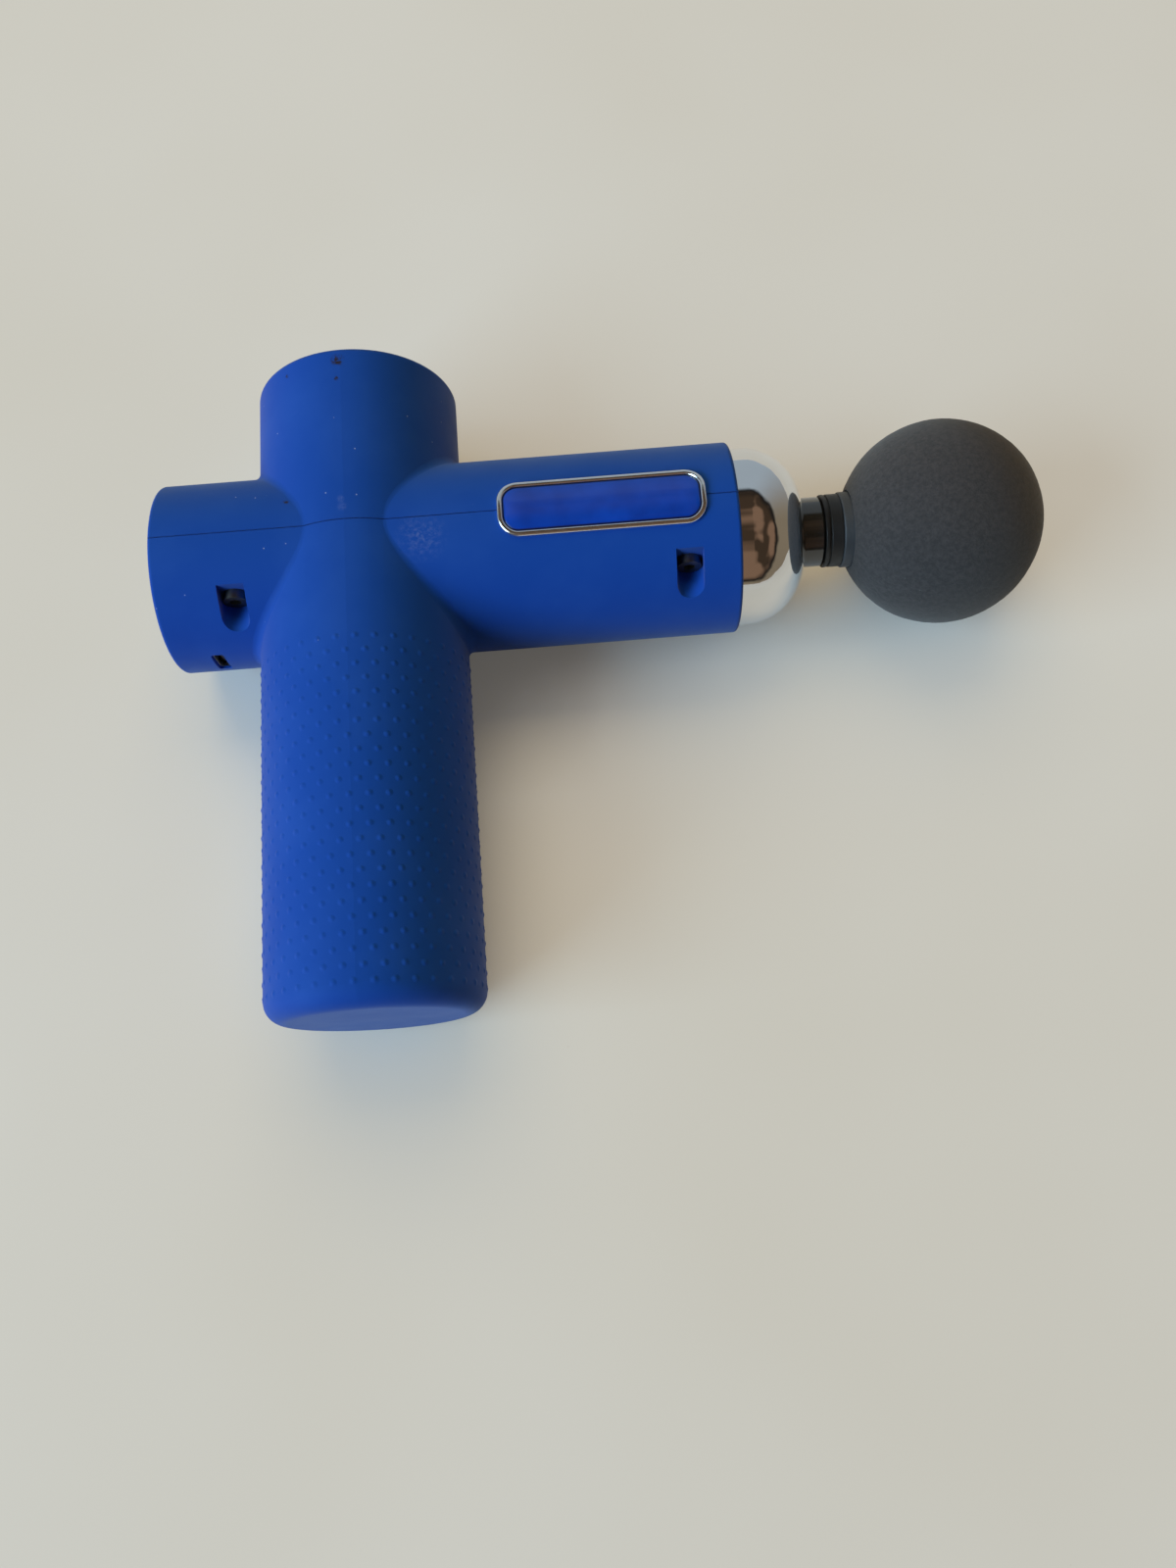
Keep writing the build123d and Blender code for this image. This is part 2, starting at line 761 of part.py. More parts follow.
# ---------------------------------------------------------------- motor, turning part
bell_base = plate_top + bell_lift
bell_in_top = plate_top + motor_tube_h + tube_clear
bell_end = bell_in_top + bell_top
shaft_end = bell_end + bell_hub_h
with BuildPart() as rotor_bell:
    with BuildSketch(across_handle(bell_base)):
        Circle(bell_r)
    extrude(amount=bell_end - bell_base)
    fillet(rotor_bell.edges().group_by(Axis.Y)[-1], radius=bell_round)
    with BuildSketch(across_handle(bell_base)):
        Circle(bell_in_r)
    extrude(amount=bell_in_top - bell_base, mode=Mode.SUBTRACT)
    with BuildSketch(across_handle(bell_end)):
        Circle(bell_hub_d / 2)
    extrude(amount=bell_hub_h)
    with BuildSketch(across_handle(bell_in_top)):
        Circle(motor_shaft_d / 2)
    extrude(amount=shaft_end - bell_in_top, mode=Mode.SUBTRACT)
    with BuildSketch(across_handle(bell_in_top)):
        with PolarLocations((bell_hub_d / 2 + bell_r) / 2, vents):
            Circle(bell_vent_d / 2)
    extrude(amount=bell_top, mode=Mode.SUBTRACT)
finish_part(rotor_bell, "rotor_bell")

with BuildPart() as rotor_magnets:
    with BuildSketch(across_handle(stator_lift - magnet_over)):
        Circle(bell_in_r)
        Circle(magnet_r, mode=Mode.SUBTRACT)
        with PolarLocations(bell_in_r, magnets):
            Rectangle(4 * magnet_t, magnet_slot, mode=Mode.SUBTRACT)
    extrude(amount=stator_h + 2 * magnet_over)
finish_part(rotor_magnets, "rotor_magnets")

with BuildPart() as motor_shaft:
    with BuildSketch(across_handle(disc_lift)):
        Circle(motor_shaft_d / 2)
    extrude(amount=shaft_end - disc_lift)
finish_part(motor_shaft, "motor_shaft")

disc_r = disc_d / 2
with BuildPart() as eccentric_disc:
    with BuildSketch(across_handle(disc_lift)):
        Circle(disc_r)
        # two holes lighten the side of the pin
        for disc_turn in (-disc_hole_turn, disc_hole_turn):
            with PolarLocations(disc_hole_r, 1, start_angle=disc_turn - 90):
                Circle(disc_hole_d / 2, mode=Mode.SUBTRACT)
    extrude(amount=disc_t)
    with BuildSketch(across_handle(disc_top)):
        Circle(disc_r)
        with Locations((0, -disc_r / 2)):
            Rectangle(disc_d, disc_r, mode=Mode.SUBTRACT)
        Circle(motor_shaft_d / 2 + weight_hub)
    extrude(amount=weight_t)
    with BuildSketch(across_handle(disc_lift)):
        Circle(motor_shaft_d / 2)
    extrude(amount=disc_t + weight_t, mode=Mode.SUBTRACT)
finish_part(eccentric_disc, "eccentric_disc")

# ---------------------------------------------------------------- crank and connecting rod
bearing_half = crank_bearing_t / 2
pin_end = disc_lift - gap  # the pin stops short of the disc
with BuildPart() as crank_pin:
    with BuildSketch(across_handle(-bearing_half - crank_pin_over, x=crank_x)):
        Circle(crank_pin_d / 2)
    extrude(amount=bearing_half + crank_pin_over + pin_end)
    with BuildSketch(across_handle(bearing_half, x=crank_x)):
        Circle(crank_pin_d / 2 + crank_pin_step)
    extrude(amount=pin_end - bearing_half)
finish_part(crank_pin, "crank_pin")

with BuildPart() as crank_bearing:
    with BuildSketch(across_handle(-bearing_half, x=crank_x)):
        Circle(crank_bearing_d / 2)
        Circle(crank_pin_d / 2, mode=Mode.SUBTRACT)
    extrude(amount=crank_bearing_t)
    for face_y, inward in ((-bearing_half, shield_sink), (bearing_half, -shield_sink)):
        with BuildSketch(across_handle(face_y, x=crank_x)):
            Circle(crank_bearing_d / 2 - race_t)
            Circle(crank_pin_d / 2 + race_t, mode=Mode.SUBTRACT)
        extrude(amount=inward, mode=Mode.SUBTRACT)
finish_part(crank_bearing, "crank_bearing")

with BuildPart() as con_rod:
    with BuildSketch(across_handle(-rod_t / 2)):
        with Locations((0, crank_x)):
            Circle(rod_end_d / 2)
        with Locations((0, wrist_x)):
            Circle(rod_eye_d / 2)
    extrude(amount=rod_t)
    with BuildSketch(across_handle(-rod_t / 4)):
        with BuildLine():
            Polyline(
                (-rod_end_d / 4, crank_x),
                (-rod_eye_d / 4, wrist_x),
                (rod_eye_d / 4, wrist_x),
                (rod_end_d / 4, crank_x),
                close=True,
            )
        make_face()
    extrude(amount=rod_t / 2)
    with BuildSketch(across_handle(-rod_t / 2)):
        with Locations((0, crank_x)):
            Circle(crank_bearing_d / 2)
        with Locations((0, wrist_x)):
            Circle(wrist_pin_d / 2 + fit)
    extrude(amount=rod_t, mode=Mode.SUBTRACT)
finish_part(con_rod, "con_rod")

# ---------------------------------------------------------------- piston and its guide
slot_t = rod_t + 2 * gap
slot_end = wrist_x + rod_eye_d / 2 + 2 * gap
with BuildPart() as piston:
    with BuildSketch(across_barrel(piston_rear)):
        Circle(piston_d / 2)
    extrude(amount=piston_length)
    chamfer(piston.edges().filter_by(GeomType.CIRCLE), length=piston_chamfer)
    with BuildSketch(across_barrel(piston_rear)):
        Rectangle(slot_t, 2 * piston_d)
    extrude(amount=slot_end - piston_rear, mode=Mode.SUBTRACT)
    with BuildSketch(across_handle(-piston_d / 2, x=wrist_x)):
        Circle(wrist_pin_d / 2)
    extrude(amount=piston_d, mode=Mode.SUBTRACT)
    with BuildSketch(across_barrel(piston_front - piston_spigot)):
        Circle(piston_spigot_d / 2)
    extrude(amount=piston_spigot, mode=Mode.SUBTRACT)
finish_part(piston, "piston")

with BuildPart() as wrist_pin:
    with BuildSketch(across_handle(wrist_pin_inset - piston_d / 2, x=wrist_x)):
        Circle(wrist_pin_d / 2)
    extrude(amount=piston_d - 2 * wrist_pin_inset)
finish_part(wrist_pin, "wrist_pin")

with BuildPart() as guide_sleeve:
    with BuildSketch(across_barrel(guide_start)):
        Circle(guide_d / 2)
        Circle(piston_d / 2 + fit, mode=Mode.SUBTRACT)
    extrude(amount=guide_length)
finish_part(guide_sleeve, "guide_sleeve")

with BuildPart() as guide_dampers:
    for damper_x in damper_xs:
        with BuildSketch(across_barrel(damper_x - damper_width / 2)):
            Circle(damper_d / 2)
            Circle(guide_d / 2, mode=Mode.SUBTRACT)
        extrude(amount=damper_width)
        with BuildSketch(across_barrel(damper_x - rib_t / 2)):
            Circle(damper_d / 2)
            Circle(rib_bore_d / 2, mode=Mode.SUBTRACT)
        extrude(amount=rib_t, mode=Mode.SUBTRACT)
finish_part(guide_dampers, "guide_dampers")

# ---------------------------------------------------------------- output tube
with BuildPart() as output_tube:
    with BuildSketch(across_barrel(piston_front)):
        Circle(tube_d / 2)
    extrude(amount=tube_front - piston_front)
    chamfer(output_tube.edges().group_by(Axis.X)[-1], length=tube_chamfer)
    with BuildSketch(across_barrel(piston_front - piston_spigot)):
        Circle(piston_spigot_d / 2)
    extrude(amount=piston_spigot)
    with BuildSketch(across_barrel(tube_front)):
        Circle(tube_bore_d / 2)
    extrude(amount=-stem_length - stem_spare, mode=Mode.SUBTRACT)
    with BuildSketch(across_barrel(piston_front + tube_floor)):
        Circle(tube_core_d / 2)
    extrude(amount=tube_front - piston_front - tube_floor, mode=Mode.SUBTRACT)
finish_part(output_tube, "output_tube")

# ---------------------------------------------------------------- push-in head
core_end = collar_rear + collar_depth + core_depth
o_ring_r = stem_d / 2 + o_ring_stand - o_ring_wire / 2
with BuildPart() as head_stem:
    with BuildSketch(across_barrel(tube_front - stem_length)):
        Circle(stem_d / 2)
    extrude(amount=stem_length + seat_gap + ridge_length)
    chamfer(head_stem.edges().group_by(Axis.X)[0], length=stem_chamfer)
    for ring_x in o_ring_xs:
        with BuildSketch(along_barrel()):
            with Locations((tube_front - ring_x, o_ring_r)):
                Circle(o_ring_wire / 2)
        revolve(axis=barrel_axis(), mode=Mode.SUBTRACT)
    with BuildSketch(across_barrel(collar_rear)):
        Circle(core_d / 2)
    extrude(amount=core_end - collar_rear)
finish_part(head_stem, "head_stem")

with BuildPart() as stem_o_rings:
    with BuildSketch(along_barrel()):
        with Locations(*[(tube_front - ring_x, o_ring_r) for ring_x in o_ring_xs]):
            Circle(o_ring_wire / 2)
    revolve(axis=barrel_axis())
finish_part(stem_o_rings, "stem_o_rings")

with BuildPart() as ridge_ring:
    with BuildSketch(across_barrel(ridge_rear)):
        Circle(ridge_d / 2)
        Circle(stem_d / 2, mode=Mode.SUBTRACT)
    extrude(amount=ridge_length)
    with BuildSketch(across_barrel(ridge_rear + ridge_lip)):
        Circle(ridge_d / 2)
        Circle(ridge_d / 2 - ridge_groove_depth, mode=Mode.SUBTRACT)
    extrude(amount=ridge_groove_w, mode=Mode.SUBTRACT)
    rims = ridge_ring.edges().filter_by(GeomType.CIRCLE)
    fillet(rims.filter_by(lambda edge: edge.radius > ridge_d / 2 - fit), radius=ridge_round)
finish_part(ridge_ring, "ridge_ring")

with BuildPart() as head_collar:
    with BuildSketch(across_barrel(collar_rear)):
        Circle(collar_d / 2)
        Circle(core_d / 2, mode=Mode.SUBTRACT)
    extrude(amount=collar_depth)
    fillet(head_collar.edges().group_by(Axis.X)[0].sort_by(SortBy.RADIUS)[-1], radius=collar_round)
finish_part(head_collar, "head_collar")

with BuildPart() as ball_head:
    with BuildSketch(along_barrel()):
        with Locations((ball_x, 0)):
            Circle(ball_d / 2)
        with Locations((ball_x, -ball_d / 2)):
            Rectangle(2 * ball_d, ball_d, mode=Mode.SUBTRACT)
    revolve(axis=barrel_axis())
    with BuildSketch(across_barrel(collar_rear - ball_d)):
        Circle(collar_d / 2)
    extrude(amount=ball_d + collar_depth, mode=Mode.SUBTRACT)
    with BuildSketch(across_barrel(collar_rear)):
        Circle(core_d / 2)
    extrude(amount=core_end - collar_rear, mode=Mode.SUBTRACT)
finish_part(ball_head, "ball_head")

# ---------------------------------------------------------------- battery pack in the handle
cell_pitch = cell_d + cell_apart
cell_places = [(0, cell_pitch / 2), (0, -cell_pitch / 2)]
holder_r = inner_body_r - gap
drive_board_r = holder_r - board_inset
holder_top = cell_top + strap_t + holder_t


with BuildPart() as battery_cells:
    with BuildSketch(across_handle(cell_bottom)):
        with Locations(*cell_places):
            Circle(cell_d / 2)
    extrude(amount=cell_length)
    fillet(battery_cells.edges().filter_by(GeomType.CIRCLE), radius=cell_round)
finish_part(battery_cells, "battery_cells")

with BuildPart() as cell_straps:
    for strap_y in (cell_bottom - strap_t, cell_top):
        with BuildSketch(across_handle(strap_y)):
            Rectangle(strap_w, cell_pitch + strap_w)
        extrude(amount=strap_t)
finish_part(cell_straps, "cell_straps")

with BuildPart() as cell_holders:
    with BuildSketch(across_handle(handle_floor)):
        Circle(holder_r)
    extrude(amount=cell_floor + holder_grip)
    with BuildSketch(across_handle(cell_top - holder_grip)):
        Circle(holder_r)
    extrude(amount=holder_top - cell_top + holder_grip)
    with BuildSketch(across_handle(cell_bottom)):
        with Locations(*cell_places):
            Circle(cell_d / 2 + cell_fit)
    extrude(amount=cell_length, mode=Mode.SUBTRACT)
    add(cell_straps.part, mode=Mode.SUBTRACT)
    with BuildSketch(across_handle(holder_top)):
        with PolarLocations(drive_board_r - standoff_inset - standoff_d / 2, standoffs):
            Circle(standoff_d / 2)
    extrude(amount=standoff_h)
finish_part(cell_holders, "cell_holders")

drive_board_y = holder_top + standoff_h
drive_top = drive_board_y + board_t
with BuildPart() as drive_board:
    with BuildSketch(across_handle(drive_board_y)):
        Circle(drive_board_r)
    extrude(amount=board_t)
finish_part(drive_board, "drive_board")

with BuildPart() as drive_chips:
    with BuildSketch(across_handle(drive_top)):
        with GridLocations(chip_pitch_w, chip_pitch_l, 3, 2):
            Rectangle(chip_w, chip_l)
    extrude(amount=chip_t)
finish_part(drive_chips, "drive_chips")
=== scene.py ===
import math

import bmesh
import bpy
from mathutils import Matrix, Vector, noise


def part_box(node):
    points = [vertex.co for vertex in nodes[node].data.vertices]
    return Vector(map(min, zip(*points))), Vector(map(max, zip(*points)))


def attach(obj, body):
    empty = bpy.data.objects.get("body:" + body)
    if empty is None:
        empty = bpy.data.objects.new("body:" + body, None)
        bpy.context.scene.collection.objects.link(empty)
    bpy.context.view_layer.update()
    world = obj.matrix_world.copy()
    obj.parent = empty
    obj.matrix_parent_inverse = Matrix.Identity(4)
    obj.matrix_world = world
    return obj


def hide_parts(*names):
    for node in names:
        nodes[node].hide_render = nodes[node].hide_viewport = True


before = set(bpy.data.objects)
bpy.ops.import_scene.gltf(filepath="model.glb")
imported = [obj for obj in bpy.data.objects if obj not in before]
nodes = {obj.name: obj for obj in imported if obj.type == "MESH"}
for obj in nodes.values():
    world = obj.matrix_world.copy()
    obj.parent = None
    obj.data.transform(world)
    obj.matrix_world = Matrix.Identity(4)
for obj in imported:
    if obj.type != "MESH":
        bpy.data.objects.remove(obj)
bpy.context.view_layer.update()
mm = 0.001
print("loaded", len(nodes), "nodes")


def middleOf(node):
    low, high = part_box(node)
    return (low + high) / 2


def spanOf(node):
    low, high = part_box(node)
    return high - low


# the two axes of the gun cross here
handleX = middleOf("motor_shaft").x
barrelY = middleOf("output_tube").y
axisZ = middleOf("output_tube").z
hub = Vector((handleX, barrelY, axisZ))
handleRadius = spanOf("lower_shell").z / 2
noseStep = 1.5 * mm  # the barrel stands this much proud of the nose
barrelRadius = spanOf("nose_cone").z / 2 + noseStep


def paint(red, green, blue):
    # screen colour 0-255 to the linear colour a shader takes
    def toLinear(value):
        value /= 255
        return value / 12.92 if value <= 0.04045 else ((value + 0.055) / 1.055) ** 2.4
    return (toLinear(red), toLinear(green), toLinear(blue), 1)


def shade(tint, factor):
    return tuple(min(1, value * factor) for value in tint[:3]) + (1,)


# shader building blocks, all placed by the part's own metres
def startFinish(name, rough=0.5, metal=0.0, **sockets):
    finish = bpy.data.materials.new(name)
    finish.use_nodes = True
    tree = finish.node_tree
    skin = tree.nodes["Principled BSDF"]
    skin.inputs["Roughness"].default_value = rough
    skin.inputs["Metallic"].default_value = metal
    for socket, value in sockets.items():
        skin.inputs[socket.replace("_", " ")].default_value = value
    return finish, tree, skin


def placeOn(tree, stretch=(1, 1, 1)):
    where = tree.nodes.new("ShaderNodeTexCoord").outputs["Object"]
    if stretch == (1, 1, 1):
        return where
    mapping = tree.nodes.new("ShaderNodeMapping")
    mapping.inputs["Scale"].default_value = stretch
    tree.links.new(where, mapping.inputs["Vector"])
    return mapping.outputs["Vector"]


def cloudy(tree, size, detail=3, rough=0.55, stretch=(1, 1, 1)):
    # soft noise whose blotches are about this size in metres
    node = tree.nodes.new("ShaderNodeTexNoise")
    node.inputs["Scale"].default_value = 1 / size
    node.inputs["Detail"].default_value = detail
    node.inputs["Roughness"].default_value = rough
    tree.links.new(placeOn(tree, stretch), node.inputs["Vector"])
    return node.outputs["Fac"]


def remap(tree, value, low, high, newLow=0.0, newHigh=1.0, smooth=False):
    node = tree.nodes.new("ShaderNodeMapRange")
    node.interpolation_type = "SMOOTHSTEP" if smooth else "LINEAR"
    node.inputs["From Min"].default_value = low
    node.inputs["From Max"].default_value = high
    node.inputs["To Min"].default_value = newLow
    node.inputs["To Max"].default_value = newHigh
    tree.links.new(value, node.inputs["Value"])
    return node.outputs["Result"]


def sums(tree, operation, first, second):
    node = tree.nodes.new("ShaderNodeMath")
    node.operation = operation
    for socket, value in zip(node.inputs, (first, second)):
        if isinstance(value, (int, float)):
            socket.default_value = value
        else:
            tree.links.new(value, socket)
    return node.outputs["Value"]


def blendTints(tree, amount, under, over):
    node = tree.nodes.new("ShaderNodeMix")
    node.data_type = "RGBA"
    tree.links.new(amount, node.inputs["Factor"])
    for socket, value in ((node.inputs["A"], under), (node.inputs["B"], over)):
        if isinstance(value, tuple):
            socket.default_value = value
        else:
            tree.links.new(value, socket)
    return node.outputs["Result"]


def layOver(tree, under, over, *amounts):
    # a second colour over the first, as strong as the product of the amounts
    amount = amounts[0]
    for other in amounts[1:]:
        amount = sums(tree, "MULTIPLY", amount, other)
    return blendTints(tree, amount, under, over)


def patches(tree, size, levels, strength=(0.0, 1.0), detail=3, rough=0.55, stretch=(1, 1, 1)):
    # blotches of noise: first strength below the first level, second above the second
    return remap(tree, cloudy(tree, size, detail, rough, stretch), *levels, *strength)


def specks(tree, spacing, size, share, stretch=(1, 1, 1)):
    # scattered dots: a share of the cells holds a dot of about this size in metres
    cells = tree.nodes.new("ShaderNodeTexVoronoi")
    cells.inputs["Scale"].default_value = 1 / spacing
    cells.inputs["Randomness"].default_value = 1.0
    tree.links.new(placeOn(tree, stretch), cells.inputs["Vector"])
    spot = remap(tree, cells.outputs["Distance"], size / spacing * 0.6, size / spacing, 1, 0)
    pick = tree.nodes.new("ShaderNodeSeparateColor")
    tree.links.new(cells.outputs["Color"], pick.inputs["Color"])
    chosen = sums(tree, "LESS_THAN", pick.outputs["Red"], share)
    return sums(tree, "MULTIPLY", spot, chosen)


def bands(tree, pitch, axis, wander=0.0):
    # lines this far apart, one after another along an axis
    repeat = 0.31  # length after which a wave texture of scale 1 repeats
    wave = tree.nodes.new("ShaderNodeTexWave")
    wave.wave_type = "BANDS"
    wave.bands_direction = axis
    wave.inputs["Scale"].default_value = repeat / pitch
    wave.inputs["Distortion"].default_value = wander
    tree.links.new(placeOn(tree), wave.inputs["Vector"])
    return wave.outputs["Fac"]


def nearPoint(tree, point, reach):
    # 1 at a point of the part, fading to 0 at this distance
    node = tree.nodes.new("ShaderNodeVectorMath")
    node.operation = "DISTANCE"
    tree.links.new(placeOn(tree), node.inputs[0])
    node.inputs[1].default_value = point
    return remap(tree, node.outputs["Value"], 0, reach, 1, 0)


def anyRay(tree, *kinds):
    # 1 for rays of these kinds
    rays = tree.nodes.new("ShaderNodeLightPath")
    hit = rays.outputs[kinds[0]]
    for kind in kinds[1:]:
        hit = sums(tree, "MAXIMUM", hit, rays.outputs[kind])
    return hit


def raiseSkin(tree, skin, height, distance, strength=1.0):
    node = tree.nodes.new("ShaderNodeBump")
    node.inputs["Distance"].default_value = distance
    node.inputs["Strength"].default_value = strength
    tree.links.new(height, node.inputs["Height"])
    tree.links.new(node.outputs["Normal"], skin.inputs["Normal"])


# soft-touch blue of both shells, spots measured from the crossing of the two axes
softTouch = {
    "blue": paint(14, 62, 148),
    "rubbed": paint(34, 78, 162),
    "dust": paint(170, 184, 205),
    "scuff": paint(36, 30, 34),
    "sheen": paint(192, 203, 214),
    "sheenWeight": 0.20,
    "sheenRough": 0.45,
    "specular": 0.08,
    "matt": {"size": 9 * mm, "levels": (0.3, 0.7), "strength": (0.60, 0.72)},
    "grain": 0.16 * mm,
    "grainDepth": 0.012 * mm,
    "handled": {"size": 16 * mm, "levels": (0.45, 0.75), "strength": (0, 0.3), "detail": 4},
    "wornSpot": (15.7 * mm, -4.4 * mm, 20.5 * mm),
    "wornReach": 6 * mm,
    "wornMarks": {
        "size": 0.9 * mm, "levels": (0.45, 0.8), "strength": (0, 0.2), "detail": 5, "rough": 0.7,
    },
    "smearSpots": (
        ((-0.6 * mm, 4.7 * mm, 22.5 * mm), 1.0 * mm),
        ((-0.4 * mm, 2.9 * mm, 22.5 * mm), 1.2 * mm),
    ),
    "smears": {
        "size": 0.5 * mm, "levels": (0.4, 0.7), "strength": (0.02, 0.16), "detail": 4, "rough": 0.7,
    },
    "dustySpot": (-18 * mm, 16 * mm, 20 * mm),
    "dustyReach": 52 * mm,
    "dustyFull": 0.6,  # from this nearness on, the dust lies at full strength
    "dustSpecks": {"spacing": 2.2 * mm, "size": 0.17 * mm, "share": 0.22},
    "dustStrength": 0.75,
    "lint": {"spacing": 7 * mm, "size": 0.24 * mm, "share": 0.2, "stretch": (1, 0.4, 1)},
    "lintStrength": 0.4,
    "chipSpots": (
        ((-0.6 * mm, 38.4 * mm, 22.5 * mm), 1.8 * mm),
        ((-0.9 * mm, 33.8 * mm, 22.5 * mm), 0.7 * mm),
        ((-12.4 * mm, 37.8 * mm, 18.8 * mm), 0.6 * mm),
        ((-12.8 * mm, 6.5 * mm, 19.6 * mm), 0.8 * mm),
    ),
    "chipRim": (0.05, 0.5),
    "chips": {"size": 0.8 * mm, "levels": (0.42, 0.56), "rough": 0.7},
}


def makeSoftTouch():
    look = softTouch
    finish, tree, skin = startFinish(
        "softTouchBlue",
        Specular_IOR_Level=look["specular"],
        Sheen_Weight=look["sheenWeight"],
        Sheen_Roughness=look["sheenRough"],
        Sheen_Tint=look["sheen"],
    )
    colour = layOver(tree, look["blue"], look["rubbed"], patches(tree, **look["handled"]))
    # a pale rubbed patch where the barrel grows out of the body
    worn = nearPoint(tree, hub + Vector(look["wornSpot"]), look["wornReach"])
    colour = layOver(tree, colour, look["dust"], worn, patches(tree, **look["wornMarks"]))
    smears = patches(tree, **look["smears"])
    for spot, reach in look["smearSpots"]:
        near = nearPoint(tree, hub + Vector(spot), reach)
        colour = layOver(tree, colour, look["dust"], near, smears)
    # specks of dust, most of them on the motor housing and the rear
    dusty = nearPoint(tree, hub + Vector(look["dustySpot"]), look["dustyReach"])
    dusty = remap(tree, dusty, 0, look["dustyFull"])
    dust = specks(tree, **look["dustSpecks"])
    colour = layOver(tree, colour, look["dust"], dust, dusty, look["dustStrength"])
    lint = specks(tree, **look["lint"])
    colour = layOver(tree, colour, look["dust"], lint, look["lintStrength"])
    # small dark chips, most of them near the end of the motor housing
    chips = patches(tree, **look["chips"])
    for spot, reach in look["chipSpots"]:
        near = remap(tree, nearPoint(tree, hub + Vector(spot), reach), *look["chipRim"])
        colour = layOver(tree, colour, look["scuff"], near, chips)
    tree.links.new(colour, skin.inputs["Base Color"])
    tree.links.new(patches(tree, **look["matt"]), skin.inputs["Roughness"])
    raiseSkin(tree, skin, cloudy(tree, look["grain"], 2), look["grainDepth"], 0.5)
    return finish


def makePolished(name, tint, low, high, wipe, metal=1.0, **sockets):
    # mirror metal or gloss black: faint wiping marks change its roughness
    finish, tree, skin = startFinish(name, metal=metal, **sockets)
    marks = patches(
        tree, wipe, (0.35, 0.7), (low, high), detail=4, rough=0.6, stretch=(1, 1, 0.35),
    )
    tree.links.new(marks, skin.inputs["Roughness"])
    worn = patches(tree, wipe * 2.5, (0.3, 0.8), detail=2)
    tree.links.new(layOver(tree, tint, shade(tint, 0.9), worn), skin.inputs["Base Color"])
    return finish


def makeMoulded(name, tint, rough, grain, depth, mottle=0.3):
    # moulded plastic or rubber with a fine spark-eroded grain
    finish, tree, skin = startFinish(name)
    mottled = layOver(tree, tint, shade(tint, 1 + mottle), patches(tree, grain * 40, (0.35, 0.7)))
    tree.links.new(mottled, skin.inputs["Base Color"])
    matt = patches(tree, grain * 25, (0.3, 0.7), (rough - 0.06, rough + 0.08))
    tree.links.new(matt, skin.inputs["Roughness"])
    raiseSkin(tree, skin, cloudy(tree, grain, 2), depth, 0.6)
    return finish


def makeTurned(name, tint, rough, axis, pitch):
    # turned or ground metal: fine tool lines run round one axis
    finish, tree, skin = startFinish(name, metal=1.0)
    lines = bands(tree, pitch, axis, wander=2.0)
    satin = remap(tree, lines, 0, 1, rough - 0.05, rough + 0.08)
    tree.links.new(satin, skin.inputs["Roughness"])
    stain = patches(tree, pitch * 30, (0.4, 0.75))
    tree.links.new(layOver(tree, tint, shade(tint, 0.82), stain), skin.inputs["Base Color"])
    raiseSkin(tree, skin, lines, 0.004 * mm, 0.5)
    return finish


# dense closed-cell foam of the ball
foamLook = {
    "charcoal": paint(53, 49, 51),
    "dark": paint(36, 34, 36),
    "pale": paint(112, 112, 114),
    "mottle": {"size": 1.0 * mm, "levels": (0.38, 0.62), "detail": 5, "rough": 0.75},
    "flecks": {"spacing": 1.6 * mm, "size": 0.13 * mm, "share": 0.16},
    "fleckStrength": 0.4,
    "cell": 0.42 * mm,
    "pore": 0.22 * mm,
    "pitDepth": 0.05 * mm,
}


def makeFoam():
    look = foamLook
    finish, tree, skin = startFinish("foamSkin", rough=0.92, Sheen_Weight=0.10, Sheen_Roughness=0.6)
    colour = layOver(tree, look["charcoal"], look["dark"], patches(tree, **look["mottle"]))
    flecks = specks(tree, **look["flecks"])
    colour = layOver(tree, colour, look["pale"], flecks, look["fleckStrength"])
    tree.links.new(colour, skin.inputs["Base Color"])
    cells = tree.nodes.new("ShaderNodeTexVoronoi")
    cells.inputs["Scale"].default_value = 1 / look["cell"]
    tree.links.new(placeOn(tree), cells.inputs["Vector"])
    pits = sums(tree, "ADD", cells.outputs["Distance"], cloudy(tree, look["pore"], 3))
    raiseSkin(tree, skin, pits, look["pitDepth"], 0.55)
    return finish


# clear domed resin over deep blue, with painted shade darkening it where it runs down to the rim
gelLook = {
    "blue": paint(0, 60, 168),
    "deep": paint(0, 48, 142),
    # painted shade along the rim, darker than the resin's own blue
    "edge": paint(0, 14, 52),
    "paintedShadeBand": 0.45 * mm,
    "paintedShadeFull": 0.1 * mm,  # the painted shade is full this far from the rim
    "depth": {"size": 6 * mm, "levels": (0.3, 0.7), "detail": 2},
    "corner": 3.3 * mm,
}


def makeGel():
    finish, tree, skin = startFinish(
        "badgeGel", rough=0.35, Specular_IOR_Level=0.2, Coat_Weight=0.5, Coat_Roughness=0.03,
    )
    depth = patches(tree, **gelLook["depth"])
    colour = layOver(tree, gelLook["blue"], gelLook["deep"], depth)
    # distance from the middle of a rounded oblong, seen from above
    corner = gelLook["corner"]
    half = spanOf("badge_plate") / 2
    value = placeOn(tree)
    for operation, by in (
        ("SUBTRACT", middleOf("badge_plate")),
        ("ABSOLUTE", None),
        ("SUBTRACT", (half.x - corner, half.y - corner, 1)),
        ("MAXIMUM", (0, 0, 0)),
        ("LENGTH", None),
    ):
        node = tree.nodes.new("ShaderNodeVectorMath")
        node.operation = operation
        tree.links.new(value, node.inputs[0])
        if by is not None:
            node.inputs[1].default_value = by
        value = node.outputs["Value" if operation == "LENGTH" else "Vector"]
    # painted shade: the resin darkens in a band along the rim
    start, full = corner - gelLook["paintedShadeBand"], corner - gelLook["paintedShadeFull"]
    edge = remap(tree, value, start, full, 0, 1, True)
    tree.links.new(layOver(tree, colour, gelLook["edge"], edge), skin.inputs["Base Color"])
    return finish


